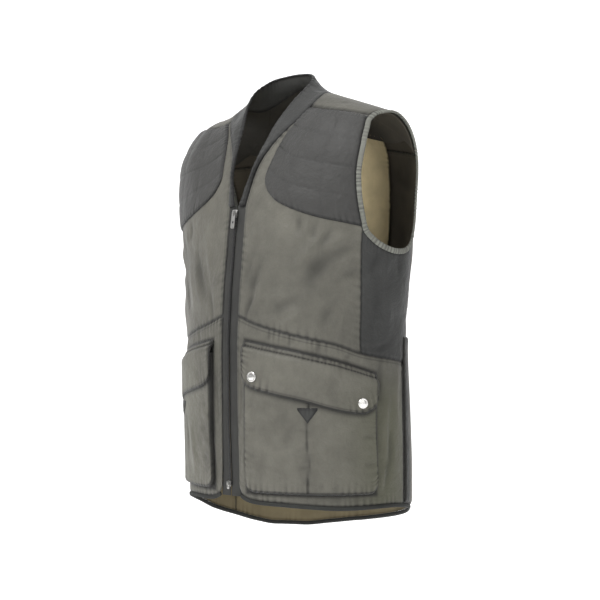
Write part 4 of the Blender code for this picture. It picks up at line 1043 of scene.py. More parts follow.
def yoke_places(back_seam, across, front_steps, over_steps, back_steps):
    """The whole yoke: each row runs from the neck to the outer edge, left half then right half"""
    neck_front = seam(NECK_SEAM, NECK_AT_YOKE_SEAM, 8)
    neck_back = seam(NECK_SEAM, 8, len(NECK_SEAM) - 1)
    along_back = seam([over_shoulder(place) for place in back_seam])
    first = np.linspace(0, 1, front_steps + 1)
    over = np.linspace(0, 1, over_steps + 1)[1:]
    rest = np.linspace(0, 1, back_steps + 1)[1:]
    near = np.concatenate([neck_front(first), neck_back(0.4 * over), neck_back(0.4 + 0.6 * rest)])
    far = np.concatenate([SHOULDER_FRONT(first), SHOULDER_BACK(over), along_back(rest)])
    share = steps(across)[None, :, None]
    rows = near[:, None, :] + (far - near)[:, None, :] * share
    seam_row = seam(YOKE_FRONT_SEAM)(share[0, :, 0])
    fade = np.clip(1 - np.arange(len(rows)) / front_steps, 0, 1)[:, None, None]
    rows = rows + (seam_row - rows[0])[None] * fade
    right = rows[-2::-1].copy()
    right[..., 0] *= -1
    return np.concatenate([rows, right])


class GILET_OT_yoke(bpy.types.Operator):
    """Yoke over both shoulders and its dark facing inside"""
    bl_idname = "gilet.yoke"
    bl_label = "Sew Yoke"

    def execute(self, context):
        places = yoke_places(YOKE_BACK_SEAM, 44, 10, 34, 64)
        works = {"bottom": SEWN, "top": SEWN, "start": SEWN, "end": SIDE}
        made = cloth_piece("yoke", places, works, 21, dark=np.full(places.shape[:2], 0.14))
        dress(made, ("waxed cotton", "inner back cotton"), nodes=["yoke"])
        places = yoke_places(FACING_EDGE, 26, 8, 22, 40)
        from_neck = edge_runs(form_points(places))["start"][0]
        drop = (CLOTH + FACING_DROP_AT_NECK
                + (FACING_DROP - FACING_DROP_AT_NECK) * ease(from_neck / 14))
        # the facing is in shadow, and lit only beside the wearer's left armhole
        left_x = form_points(places)[..., 0]
        deep = 0.85 * (1 - ease((left_x - 90) / 60))
        inside = cloth_piece("yoke_facing", places, {"start": PLAIN, "end": PLAIN}, 23, out=-drop,
                             thickness=FACING_CLOTH, creases=(), dark=deep)
        dress(inside, ("facing cotton", "facing cotton"), nodes=["yoke_facing"])
        return {"FINISHED"}


def mirrored_rows(places):
    """A grid whose last column is the centre back, carried on to the wearer's right"""
    other = places[:, -2::-1].copy()
    other[..., 0] = 360 - other[..., 0]
    return np.concatenate([places, other], axis=1)


class GILET_OT_back(bpy.types.Operator):
    """Back panel and the beige lining inside it"""
    bl_idname = "gilet.back"
    bl_label = "Sew Back"

    def execute(self, context):
        columns, rows = 76, 104
        armhole = seam(ARMHOLE, ARMHOLE_AT_SIDE_BACK, ARMHOLE_AT_BACK_YOKE)
        share = 7 / 12
        outer = joined([(backwards(seam(SIDE_BACK_SEAM)), 0, 1 - share), (armhole, 1 - share, 1)])
        centre = straight((180, WAIST_SEAM[-1].level), (180, YOKE_BACK_SEAM[-1].level))
        crowd_start = np.linspace(0, 1, columns + 1) ** 1.15
        places = fill(seam(WAIST_SEAM, WAIST_AT_SIDE_BACK), seam(YOKE_BACK_SEAM), outer, centre,
                      crowd_start, steps(rows, 0.5))
        works = {"bottom": WAIST, "top": SEWN, "start": SIDE, "end": SIDE}
        made = cloth_piece("back", mirrored_rows(places), works, 31)
        dress(made, ("waxed cotton", "inner back cotton"), nodes=["back"])
        left, right = LINING_AROUND
        low, high = LINING_LEVELS
        lining = fill(straight((left, low), (right, low)), straight((left, high), (right, high)),
                      straight((left, low), (left, high)), straight((right, low), (right, high)),
                      steps(60, 0.2), steps(80, 0.2))
        soft = {"start": OVERLAID, "end": OVERLAID, "top": OVERLAID, "bottom": OVERLAID}
        inside = cloth_piece("back_lining", lining, soft, 33, out=-CLOTH - LAY_ON - LINING_DROP,
                             thickness=LINING_CLOTH)
        dress(inside, ("back lining", "back lining"), nodes=["back_lining"])
        return {"FINISHED"}


class GILET_OT_sides(bpy.types.Operator):
    """Dark panels under the arms"""
    bl_idname = "gilet.sides"
    bl_label = "Sew Side Panels"

    def execute(self, context):
        armhole = seam(ARMHOLE, ARMHOLE_AT_SIDE_FRONT, ARMHOLE_AT_SIDE_BACK)
        places = fill(seam(WAIST_SEAM, WAIST_AT_SIDE_FRONT, WAIST_AT_SIDE_BACK), armhole,
                      backwards(seam(SIDE_FRONT_SEAM)), backwards(seam(SIDE_BACK_SEAM)),
                      steps(70), steps(76))
        works = {"bottom": ABOVE_WAIST, "top": BOUND, "start": SIDE, "end": SIDE}
        for side in (1, -1):
            name = side_name("side_panel", side)
            made = cloth_piece(name, places, works, 41 + side, side=side)
            dress(made, DARK, nodes=[name])
        return {"FINISHED"}


def level_on(rows, around):
    """Level of a seam table at each angle"""
    table = np.array([tuple(row) for row in rows], float)
    return smooth_between(table[:, 0], table[:, 1], around)


def back_grid(lower, upper, angles, shares):
    """Upright columns between two seam tables on the back"""
    low = level_on(lower, angles)
    high = level_on(upper, angles)
    level = low[None, :] + (high - low)[None, :] * shares[:, None]
    return np.stack([np.broadcast_to(angles, level.shape), level], axis=-1)


class GILET_OT_skirts(bpy.types.Operator):
    """Front skirts with their round corners, and the longer back skirt"""
    bl_idname = "gilet.skirts"
    bl_label = "Sew Skirts"

    def execute(self, context):
        share = 10 / 13
        waist = WAIST_SEAM[WAIST_AT_SIDE]
        works = {"bottom": HEMMED, "top": WAIST, "start": FACED, "end": SIDE}
        for side in (1, -1):
            hem = FRONT_HEM["left" if side > 0 else "right"]
            levels = (-349, -430, -520)
            edge = seam([Place(float(around_at(FRONT_EDGE[side], z)), z) for z in levels] + [hem[0]])
            top = joined([(seam(WAIST_SEAM, 0, WAIST_AT_SIDE_FRONT), 0, share),
                          (seam(WAIST_SEAM, WAIST_AT_SIDE_FRONT, WAIST_AT_SIDE), share, 1)])
            places = fill(seam(hem), top, backwards(edge),
                          straight(tuple(hem[-1]), (hem[-1].around, waist.level)),
                          steps(120), steps(96))
            name = side_name("skirt", side)
            made = cloth_piece(name, places, works, 51 + side, side=side,
                               dark=np.maximum(beside_pocket(places), 0.08))
            dress(made, BACK_WAXED, nodes=[name])
        upper = WAIST_SEAM[WAIST_AT_SIDE:] + tuple(
            Place(360 - p.around, p.level) for p in reversed(WAIST_SEAM[WAIST_AT_SIDE:-1]))
        angles = BACK_HEM[0].around + (BACK_HEM[-1].around - BACK_HEM[0].around) * steps(170)
        places = back_grid(BACK_HEM, upper, angles, steps(84))
        works = {"bottom": HEMMED, "top": WAIST, "start": SIDE, "end": SIDE}
        runs = edge_runs(form_points(places))
        # painted shade: the skirt darkens towards its start edge, inside and out; outside it lies under the
        # game pocket
        painted_end_shade = 0.9 * np.exp(-(runs["start"][0] / 34.0) ** 2)
        made = cloth_piece("back_skirt", places, works, 57, dark=painted_end_shade)
        dress(made, BACK_WAXED, nodes=["back_skirt"])
        return {"FINISHED"}


# Millimetres of skirt for one degree round the body, at the pockets
POCKET_DEGREE = POCKET_WIDTH / (POCKET_RIGHT - POCKET_LEFT)


def beside_pocket(places):
    """The shade that a pocket and its flap cast on the skirt round them"""
    left = (POCKET_LEFT - places[..., 0]) * POCKET_DEGREE
    right = (places[..., 0] - POCKET_RIGHT) * POCKET_DEGREE
    below = POCKET_FLOOR - places[..., 1]
    above = places[..., 1] - flap_line(places[..., 0])
    away = np.maximum(np.maximum(left, right), np.maximum(below, above))
    return np.exp(-(np.clip(away, 0, None) / 4.2) ** 2)


def rounded(distance, radius):
    """Rise of a rounded edge from 0 at the edge to 1 at a radius in from it"""
    t = np.clip(distance / radius, 0, 1)
    return np.sqrt(np.clip(1 - (1 - t) ** 2, 0, 1))


class GILET_OT_game_pocket(bpy.types.Operator):
    """Game pocket across the back skirt, standing off it, open at the top"""
    bl_idname = "gilet.game_pocket"
    bl_label = "Sew Game Pocket"

    def execute(self, context):
        angles = GAME_POCKET_EDGE + 2 * (180 - GAME_POCKET_EDGE) * steps(150)
        places = back_grid(raised(BACK_HEM, 2.0), GAME_POCKET_TOP, angles, steps(70))
        runs = edge_runs(form_points(places))
        side_run = np.minimum(runs["start"][0], runs["end"][0])
        low_run = runs["bottom"][0]
        inward = ease(side_run / 290)
        depth = GAME_POCKET_SIDE_DEPTH + (GAME_POCKET_DEPTH - GAME_POCKET_SIDE_DEPTH) * inward
        base = LAY_ON + CLOTH
        rise = rounded(side_run, 5) * rounded(low_run, 7)
        works = {"bottom": HEMMED, "start": PIPED, "end": PIPED, "top": ROLLED}
        # painted shadow: both side edges go nearly black over about 24 mm, standing for the shade in the
        # gap at the sides
        painted_side_shadow = 0.95 * np.exp(-(side_run / 24.0) ** 4)
        made = cloth_piece("game_pocket", places, works, 61, out=base + (depth - base) * rise,
                           dark=painted_side_shadow)
        dress(made, WAXED, nodes=["game_pocket"])
        return {"FINISHED"}


def flap_line(around):
    """Level of the flap's top seam at an angle"""
    table = np.array([tuple(row) for row in FLAP_TOP])
    return np.interp(around, table[:, 0], table[:, 1])


def flap_out(below):
    """How far the flap stands off the body form at a distance below its top seam"""
    over_pocket = POCKET_DEPTH + FLAP_OVER_POCKET
    return LAY_ON + FLAP_LIFT + over_pocket * ease(below / (MOUTH_BELOW_FLAP - 4))


FLAP_EDGE = seam(FLAP_LOWER)(np.linspace(0, 1, 60))

# Short creases on the pockets: along both side edges, over the pleat and above the floor
POCKET_CREASES = CREASES + folds(
    (14, -486, 4, 26, 7, -0.8), (13, -502, -6, 30, 8, 0.8), (15, -520, 8, 24, 7, -0.9),
    (13, -541, -4, 28, 8, 0.7), (14, -562, 6, 24, 7, -0.8), (15, -580, 4, 26, 8, 0.7),
    (75, -530, 4, 34, 8, -0.9), (74, -552, -8, 30, 8, 0.8), (76, -572, 6, 34, 8, -0.9),
    (40, -520, 2, 26, 6, -0.6), (44, -534, -4, 24, 6, 0.6), (40, -548, 5, 26, 6, -0.6),
    (45, -561, -3, 24, 6, 0.6), (41, -576, 3, 28, 7, -0.9), (44, -592, -5, 26, 6, 0.6),
    (49, -604, 84, 22, 6, -0.8), (53, -606, 88, 22, 6, 0.7), (57, -605, 82, 20, 6, -0.8),
    (62, -606, 88, 22, 7, 0.6), (31, -606, 86, 20, 7, -0.6), (24, -604, 80, 20, 6, 0.6),
    (26, -560, 78, 110, 20, 1.0), (60, -560, -80, 110, 22, 1.0), (33, -530, 60, 70, 16, -0.8),
    (-14, -486, 4, 26, 7, -0.8), (-13, -504, -6, 30, 8, 0.8), (-15, -524, 8, 24, 7, -0.9),
    (-13, -546, -4, 28, 8, 0.7), (-14, -568, 6, 24, 7, -0.8), (-26, -560, -80, 120, 16, 1.1),
    (-34, -540, -84, 120, 14, -0.9), (-60, -560, 80, 110, 22, 1.0), (-75, -540, 4, 34, 8, -0.9),
)


class GILET_OT_pockets(bpy.types.Operator):
    """Bellows pockets with a centre pleat and the tack at its top"""
    bl_idname = "gilet.pockets"
    bl_label = "Sew Pockets"

    def execute(self, context):
        u = steps(118, 0.7)
        v = steps(96, 0.6)
        around = POCKET_LEFT + (POCKET_RIGHT - POCKET_LEFT) * u
        edge = np.minimum(u, 1 - u) * POCKET_WIDTH
        corner = POCKET_CORNER - np.sqrt(np.clip(
            POCKET_CORNER ** 2 - np.clip(POCKET_CORNER - edge, 0, None) ** 2, 0, None))
        high = flap_line(around) - MOUTH_BELOW_FLAP
        low = POCKET_FLOOR + corner[None, :] * (1 - v[:, None])
        level = low + (high[None, :] - low) * v[:, None]
        places = np.stack([np.broadcast_to(around, level.shape), level], axis=-1)
        runs = edge_runs(form_points(places))
        side_run = np.minimum(runs["start"][0], runs["end"][0])
        rise = rounded(side_run, 4.2) * rounded(runs["bottom"][0], 4.6)
        base = LAY_ON + CLOTH
        out = base + (POCKET_DEPTH - base) * rise
        pleat_run = (around[None, :] - PLEAT_AROUND) * POCKET_DEGREE + 0.9 * uneven(level, 60, 5)
        groove = 2.6 * np.exp(-(pleat_run / 1.3) ** 2)
        shoulders = 0.7 * np.exp(-((np.abs(pleat_run) - 3.4) / 2.0) ** 2)
        relief = (shoulders - groove) * rise
        bars = 0.5 + 0.5 * uneven(level, 12, 15)
        under_flap = np.interp(around, FLAP_EDGE[:, 0], FLAP_EDGE[:, 1])[None, :] - level
        # painted shade: a dark line down the pleat's groove with short bars of wrinkle shade beside it, the
        # flap's shadow below its lower edge, and shade along the side and lower edges
        dark = 0.62 * np.exp(-(pleat_run / 1.0) ** 2) + 0.34 * bars * np.exp(-(pleat_run / 8) ** 2)
        dark = dark + 0.9 * np.exp(-(np.clip(under_flap, 0, None) / 5.5) ** 2)
        dark = dark + 0.8 * np.exp(-(np.minimum(side_run, runs["bottom"][0]) / 3.6) ** 2)
        works = {"bottom": POCKET_EDGE, "start": POCKET_EDGE, "end": POCKET_EDGE, "top": PLAIN}
        for side in (1, -1):
            name = side_name("pocket", side)
            made = cloth_piece(name, places, works, 71 + side, side=side, out=out, relief=relief,
                               creases=POCKET_CREASES, dark=dark)
            dress(made, WAXED, nodes=[name])
            self.tack(side)
        return {"FINISHED"}

    def tack(self, side):
        """The dark kite sewn over the top of the pleat"""
        half = TACK_HALF_WIDTH / TACK_DEGREE
        u = np.linspace(-1, 1, 25)
        v = np.linspace(0, 1, 15)
        low = TACK_TOP - TACK_POINT_DROP * (1 - np.abs(u)) - TACK_OVERLAP
        level = low[None, :] + (TACK_TOP - low)[None, :] * v[:, None]
        around = np.broadcast_to(PLEAT_AROUND + half * u, level.shape)
        places = np.stack([around, level], axis=-1)
        name = side_name("pleat_tack", side)
        made = cloth_piece(name, places, {"bottom": OVERLAID, "top": OVERLAID}, 79, side=side,
                           out=POCKET_DEPTH + TACK_LIFT, thickness=TACK_CLOTH)
        dress(made, DARK, nodes=[name])


class GILET_OT_flaps(bpy.types.Operator):
    """Pocket flaps with a twice-stitched top band and a rolled lower edge"""
    bl_idname = "gilet.flaps"
    bl_label = "Sew Flaps"

    def execute(self, context):
        u = steps(112, 0.45)
        v = steps(30, 0.5)
        fold = raised(FLAP_TOP, -FLAP_BAND)
        places = fill(seam(FLAP_LOWER), seam(fold), straight(FLAP_LOWER[0], fold[0]),
                      straight(FLAP_LOWER[-1], fold[-1]), u, v)
        climb = np.linspace(0, 1, 15)[1:]
        above = np.repeat(places[-1][None], len(climb), axis=0)
        above[..., 1] += FLAP_BAND * climb[:, None]
        places = np.concatenate([places, above])
        below = flap_line(places[..., 0]) - places[..., 1]
        out = flap_out(below)
        runs = edge_runs(form_points(places))
        twist = 0.8 + 0.35 * np.sin(2 * np.pi * runs["start"][0] / 5.0)
        cord = np.exp(-((below - 7.4) / 1.5) ** 2) * twist
        ridge = np.exp(-((below - 4.0) / 1.8) ** 2)
        relief = 0.9 * ridge - 1.9 * cord
        # painted shade in the cord's groove and just below the top seam, and a dark painted outline along
        # the rim
        dark = 0.9 * cord + 0.75 * np.exp(-((below - 0.8) / 1.5) ** 2)
        rim = np.minimum(np.minimum(runs["start"][0], runs["end"][0]), runs["bottom"][0])
        dark = dark + 0.9 * np.exp(-(rim / 3.0) ** 2)
        works = {"bottom": ROLLED, "start": ROLLED, "end": ROLLED, "top": SEWN}
        for side in (1, -1):
            name = side_name("flap", side)
            made = cloth_piece(name, places, works, 81 + side, side=side, out=out, thickness=FLAP_CLOTH,
                               relief=relief, rim=0.8, dark=dark)
            dress(made, WAXED, nodes=[name])
        return {"FINISHED"}


class GILET_OT_studs(bpy.types.Operator):
    """Domed press studs on the flaps"""
    bl_idname = "gilet.studs"
    bl_label = "Set Studs"

    def execute(self, context):
        for side in (1, -1):
            for key, place in STUDS.items():
                if side < 0 and key == "inner":
                    continue
                self.stud(side_name(f"stud_{key}", side), (side * place.around, place.level))
        return {"FINISHED"}

    def stud(self, name, place):
        """A cap with a rolled rim round a shallow dome"""
        size = bpy.context.scene.gilet_sizes.stud_radius / MM
        made = add_new(bpy.ops.mesh.primitive_circle_add, f"{name}_finished", vertices=48, radius=size,
                       fill_type="NGON")
        edit_all(made)
        for rise, scale in ((0.7, 1.02), (0.9, 0.97), (0.4, 0.86), (-0.35, 0.90), (0.25, 0.85),
                            (0.35, 0.72), (0.18, 0.45)):
            bpy.ops.mesh.extrude_region_move(TRANSFORM_OT_translate={"value": (0, 0, rise)})
            bpy.ops.transform.resize(value=(scale, scale, 1.0))
        bpy.ops.mesh.merge(type="CENTER")
        close_edit()
        spot = np.array(place, float)
        out = flap_out(flap_line(abs(spot[0])) - spot[1]) + 0.2
        centre = Vector(cloth_points(spot, out))
        turn = Vector(form_normals(spot)).to_track_quat("Z", "Y").to_matrix().to_4x4()
        made.data.transform(Matrix.Translation(centre) @ turn)
        made.data.transform(Matrix.Scale(MM, 4))
        made.matrix_world = Matrix.Identity(4)
        smooth(made, 60.0)
        dress(made, ("stud metal",), nodes=[name])


def band_points(steps_front, steps_back, across):
    """Points of the neck band from the zip up round the back of the neck and down again"""
    table = np.array(BAND_EDGE, float)
    lengths = lengths_along(table)

    def free_edge(t):
        goal = np.clip(t, 0, 1) * lengths[-1]
        k = np.clip(np.searchsorted(lengths, goal, side="right") - 1, 0, len(table) - 2)
        return curve_at(table, k, ((goal - lengths[k]) / (lengths[k + 1] - lengths[k]))[:, None])

    front = np.linspace(0, 1, steps_front + 1)
    back = np.linspace(0, 1, steps_back + 1)[1:]
    roots = np.concatenate([seam(NECK_SEAM, 0, NECK_AT_YOKE_SEAM)(front),
                            seam(NECK_SEAM, NECK_AT_YOKE_SEAM, len(NECK_SEAM) - 1)(back)])
    tips = free_edge(np.concatenate([BAND_AT_YOKE_SEAM * front,
                                     BAND_AT_YOKE_SEAM + (1 - BAND_AT_YOKE_SEAM) * back]))
    halves = []
    for side in (1, -1):
        places = roots * np.array([side, 1.0])
        normals = form_normals(places)
        start = form_points(places) - normals * 0.7
        ends = tips * np.array([side, 1.0, 1.0])
        if side < 0:
            ends[:, 0] += BAND_OVERLAP * ease((-125 - ends[:, 2]) / 40)
        share = across[:, None, None]
        grid = start[None] + (ends - start)[None] * share
        over = np.arange(len(roots)) / steps_front
        bulge = 2.4 - 6.0 * ease((over - 0.75) / 0.3)
        halves.append(grid + normals[None] * (bulge[:, None] * np.sin(np.pi * share)))
    return np.concatenate([halves[0], halves[1][:, -2::-1]], axis=1)


def grid_normals(points):
    """Directions square to a grid of points"""
    along = np.gradient(points, axis=1)
    up = np.gradient(points, axis=0)
    out = np.cross(along, up)
    return out / np.linalg.norm(out, axis=-1, keepdims=True)


class GILET_OT_neck_band(bpy.types.Operator):
    """Neck band that rises to a stand collar at the back"""
    bl_idname = "gilet.neck_band"
    bl_label = "Sew Neck Band"

    def execute(self, context):
        across = steps(22, 0.5)
        points = band_points(90, 80, across)
        normals = grid_normals(points)
        runs = edge_runs(points)
        run = runs["start"][0]
        away = runs["top"][0]
        waves = 0.45 * uneven(run, 46, 3) + 0.25 * uneven(run, 19, 4)
        roll = 0.8 * np.exp(-((away - 2.2) / 2.0) ** 2)
        works = {"bottom": SEWN, "top": OVERLAID, "start": SIDE, "end": SIDE}
        # painted shade along the band's free edge and beside the root seam
        dark = 0.55 * np.exp(-(away / 2.0) ** 2) + 0.5 * np.exp(-(runs["bottom"][0] / 3.0) ** 2)
        made = lay("neck_band", points, normals, BAND_CLOTH, works, 91, lift=waves + roll, offset=0.0,
                   rim=0.9, dark=dark)
        dress(made, DARK, nodes=["neck_band"])
        return {"FINISHED"}


def armhole_places(count):
    """Places round the whole armhole, evenly walked"""
    lines = [seam(ARMHOLE, 0, ARMHOLE_AT_BACK_YOKE),
             backwards(SHOULDER_BACK), backwards(SHOULDER_FRONT)]
    walk = np.concatenate([line(np.linspace(0, 1, 120))[:-1] for line in lines])
    points = form_points(walk)
    closed = np.concatenate([points, points[:1]])
    lengths = lengths_along(closed)
    goal = np.linspace(0, lengths[-1], count + 1)[:-1]
    index = np.interp(goal, lengths, np.arange(len(closed)))
    low = np.floor(index).astype(int) % len(walk)
    high = (low + 1) % len(walk)
    part = (index - np.floor(index))[:, None]
    near = walk[low]
    far = walk[high]
    crosses = np.abs(near[:, 1] - far[:, 1]) > 30
    return np.where(crosses[:, None], near, near + (far - near) * part)


def tube_points(centres, normals, sides, half_width, half_thickness, count, swell):
    """A flat round-edged tube; swell is one factor for each place along it"""
    angle = 2 * np.pi * np.arange(count) / count
    across = np.sign(np.cos(angle)) * np.abs(np.cos(angle)) ** 0.8 * half_width
    out = np.sign(np.sin(angle)) * np.abs(np.sin(angle)) ** 0.8 * half_thickness
    return (centres[:, None, :] + sides[:, None, :] * across[None, :, None]
            + normals[:, None, :] * (out[None, :] * swell[:, None])[..., None])


class GILET_OT_bindings(bpy.types.Operator):
    """Bound armholes with drawn-in ribs, and the dark hem binding"""
    bl_idname = "gilet.bindings"
    bl_label = "Bind Edges"

    def execute(self, context):
        for side in (1, -1):
            self.armhole(side)
        for side in (1, -1):
            hem = FRONT_HEM["left" if side > 0 else "right"]
            places = seam(hem, HEM_BOUND_FROM)(np.linspace(0, 1, 181)) * np.array([side, 1.0])
            self.hem(side_name("hem_binding", side), places)
        angles = np.linspace(BACK_HEM[0].around, BACK_HEM[-1].around, 261)
        places = np.stack([angles, level_on(BACK_HEM, angles)], axis=-1)
        self.hem("hem_binding_back", places)
        return {"FINISHED"}

    def armhole(self, side):
        """One armhole's binding, in from the cut edge"""
        count = 256
        around = 12
        places = armhole_places(count) * np.array([side, 1.0])
        points = cloth_points(places, 0.0)
        normals = form_normals(places)
        along = np.roll(points, -1, axis=0) - np.roll(points, 1, axis=0)
        along /= np.linalg.norm(along, axis=1, keepdims=True)
        inward = np.cross(along, normals) * side
        centre = points.mean(axis=0)
        if np.mean(np.sum(inward * (centre - points), axis=1)) < 0:
            inward = -inward
        inward /= np.linalg.norm(inward, axis=1, keepdims=True)
        run = np.arange(count) * 2.0
        ribs = 1 + 0.26 * pucker(run, 5.4, 7 + side)
        width = bpy.context.scene.gilet_sizes.binding_width / MM
        centres = points + inward * width / 2 - normals * 0.5
        rings = tube_points(centres, normals, inward, width / 2, BINDING_THICKNESS / 2, around, ribs)
        name = side_name("armhole_binding", side)
        made = add_new(bpy.ops.mesh.primitive_torus_add, f"{name}_finished", major_segments=count,
                       minor_segments=around)
        put_points(made, rings)
        shade = np.repeat(np.clip(0.4 - (ribs - 1) * 3.4, 0, 1)[:, None], around, axis=1) * 0.8
        put_painted_shade_wear_tint(made, shade, np.zeros_like(shade), np.zeros_like(shade))
        edit_all(made)
        close_edit()
        smooth(made, 80.0)
        dress(made, ("armhole binding",), nodes=[name])

    def hem(self, name, places):
        """A narrow tube along a hem, its ends closed"""
        around = 12
        points = form_points(places) + form_normals(places) * fold_heights(places, FOLDS + CREASES)[:, None]
        normals = form_normals(places)
        along = np.gradient(points, axis=0)
        along /= np.linalg.norm(along, axis=1, keepdims=True)
        down = np.cross(normals, along)
        down = np.where(down[:, 2:] > 0, -down, down)
        run = np.arange(len(points)) * 2.6
        ribs = 1 + 0.13 * pucker(run, 8.0, len(points))
        centres = points + down * (HEM_WIDTH / 2 + 0.7) - normals * 0.6
        rings = tube_points(centres, normals, down, HEM_WIDTH / 2, HEM_THICKNESS / 2, around, ribs)
        rings = np.concatenate([rings, rings[:, :1]], axis=1)
        made = new_grid(name, around, len(points) - 1)
        put_points(made, rings)
        shade = np.zeros(rings.shape[:2])
        put_painted_shade_wear_tint(made, shade, shade, shade)
        edit_all(made)
        bpy.ops.mesh.remove_doubles(threshold=0.00002)
        bpy.ops.mesh.fill_holes(sides=0)
        close_edit()
        smooth(made, 60.0)
        dress(made, ("hem binding",), nodes=[name])


class GILET_OT_zip(bpy.types.Operator):
    """Zip tapes and the closed teeth between the two sliders"""
    bl_idname = "gilet.zip"
    bl_label = "Fit Zip"

    def execute(self, context):
        for side in (1, -1):
            u = np.linspace(0, 1, 9)
            v = np.linspace(0, 1, 181)
            level = np.broadcast_to((ZIP_BOTTOM + (TAPE_TOP - ZIP_BOTTOM) * v)[:, None], (181, 9))
            x = TAPE_INNER_X + (TAPE_EDGE_X - TAPE_INNER_X) * u
            around = around_at(np.broadcast_to(x, level.shape), level)
            places = np.stack([around, level], axis=-1)
            waves = 0.3 * uneven(level, 30, 8 + side)
            fold = -0.48 * np.exp(-((x - TAPE_FOLD_X) / 2.0) ** 2)
            name = side_name("zip_tape", side)
            made = cloth_piece(name, places, {"start": PLAIN, "end": TAPE_EDGE}, 101 + side, side=side,
                               out=-TAPE_DEPTH, thickness=TAPE_CLOTH, relief=waves + fold)
            dress(made, ("zip cloth", "zip cloth"), nodes=[name])
            self.teeth(side)
        return {"FINISHED"}

    def teeth(self, side):
        """One side's teeth: a small rounded block repeated along the tape"""
        count = int((TEETH_TOP - TEETH_BOTTOM) / TOOTH_PITCH)
        name = side_name("zip_teeth", side)
        made = add_new(bpy.ops.mesh.primitive_cube_add, f"{name}_finished", size=1.0)
        made.data.transform(Matrix.Diagonal(TOOTH_SIZE + (1.0,)))
        apply_modifier(made, "BEVEL", width=0.35, segments=1)
        apply_modifier(made, "ARRAY", count=count, use_relative_offset=False, use_constant_offset=True,
                       constant_offset_displace=(0, 0, TOOTH_PITCH))
        flat = np.empty(len(made.data.vertices) * 3)
        made.data.vertices.foreach_get("co", flat)
        local = flat.reshape(-1, 3)
        level = local[:, 2] + TEETH_BOTTOM + (TOOTH_PITCH / 2 if side < 0 else 0.0)
        x = side * (local[:, 0] + TOOTH_X)
        places = np.stack([around_at(x, level), level], axis=-1)
        put_points(made, cloth_points(places, -TOOTH_DEPTH - local[:, 1]))
        edit_all(made)
        close_edit()
        smooth(made, 40.0)
        dress(made, ("tooth plastic",), nodes=[name])


class GILET_OT_sliders(bpy.types.Operator):
    """Two sliders and their pulls, with their edges rounded"""
    bl_idname = "gilet.sliders"
    bl_label = "Fit Sliders"

    def execute(self, context):
        parts = (("slider_top", GARMENT), ("slider_bottom", GARMENT),
                 ("pull_top", "top_pull"), ("pull_bottom", "bottom_pull"))
        for node, body in parts:
            made = add_new(bpy.ops.mesh.primitive_cube_add, f"{node}_finished", size=1.0)
            made.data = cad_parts[node].data.copy()
            made.matrix_world = Matrix.Identity(4)
            edit_all(made)
            bpy.ops.mesh.remove_doubles(threshold=0.00001)
            bpy.ops.mesh.dissolve_limited(angle_limit=math.radians(2))
            close_edit()
            apply_modifier(made, "BEVEL", width=0.00028, segments=2, limit_method="ANGLE",
                           angle_limit=math.radians(40), harden_normals=False)
            smooth(made, 35.0)
            dress(made, ("slider metal",), body=body, nodes=[node])
        return {"FINISHED"}


class GILET_OT_stitching(bpy.types.Operator):
    """Lines of top stitching beside the seams"""
    bl_idname = "gilet.stitching"
    bl_label = "Stitch Seams"

    def execute(self, context):
        length = context.scene.gilet_sizes.stitch_length / MM
        pitch = length * 1.35
        spots = []
        for line, faces in THREAD_LINES:
            run = lengths_along(line)
            goal = np.arange(pitch, run[-1] - pitch, pitch)
            centres = np.stack([np.interp(goal, run, line[:, c]) for c in range(3)], axis=-1)
            ahead = np.stack([np.interp(goal + 0.5, run, line[:, c]) for c in range(3)], axis=-1)
            out = np.stack([np.interp(goal, run, faces[:, c]) for c in range(3)], axis=-1)
            spots.append((centres, ahead - centres, out))
        centres, along, out = [np.concatenate(column) for column in zip(*spots)]
        along /= np.linalg.norm(along, axis=1, keepdims=True)
        out /= np.linalg.norm(out, axis=1, keepdims=True)
        across = np.cross(out, along)
        made = add_new(bpy.ops.mesh.primitive_cylinder_add, "stitches", vertices=5, radius=0.26,
                       depth=length)
        apply_modifier(made, "ARRAY", count=len(centres), use_relative_offset=False,
                       use_constant_offset=True, constant_offset_displace=(0, 0, 0))
        flat = np.empty(len(made.data.vertices) * 3)
        made.data.vertices.foreach_get("co", flat)
        local = flat.reshape(len(centres), -1, 3)
        arch = 0.12 - 0.5 * (np.abs(local[..., 2]) / (length / 2)) ** 2
        points = (centres[:, None] + along[:, None] * local[..., 2:3] + across[:, None] * local[..., 0:1]
                  + out[:, None] * (local[..., 1:2] + arch[..., None]))
        put_points(made, points)
        smooth(made, 60.0)
        dress(made, ("thread",))
        return {"FINISHED"}


# Stage, in metres: the floor runs away from the camera, bends up and rises as the backdrop
FLOOR_LEVEL = -0.98
SWEEP_ROWS = 48
SWEEP_COLUMNS = 8
SWEEP_WIDTH = 8.0
FLAT_SHARE = 0.4
FLAT_FROM = -5.0
FLAT_TO = 2.0
BEND_SHARE = 0.35
BEND_RADIUS = 1.6
RISE_SHARE = 0.25
RISE_HEIGHT = 4.0
SURROUND_RADIUS = 9.0
LIGHTS = (
    ("key_light", (0.15, -1.75, 1.3), 1.3, 52.0),
    ("fill_light", (2.9, -0.6, 0.4), 2.2, 14.0),
    ("far_light", (-2.4, -1.6, 0.6), 1.6, 5.0),
    ("top_light", (0.0, 0.4, 1.9), 1.6, 14.0),
)
LIGHTS_AIM = Vector((0, 0, -0.33))
CAMERA_AIM = Vector((0, 0, -0.325))
CAMERA_SHIFT = 0.0032
CAMERA_DISTANCE = 2.7
CAMERA_TURN = math.radians(45)
CAMERA_LENS = 101.25
CAMERA_SENSOR = 36
WHITE = (1.0, 1.0, 1.0, 1.0)


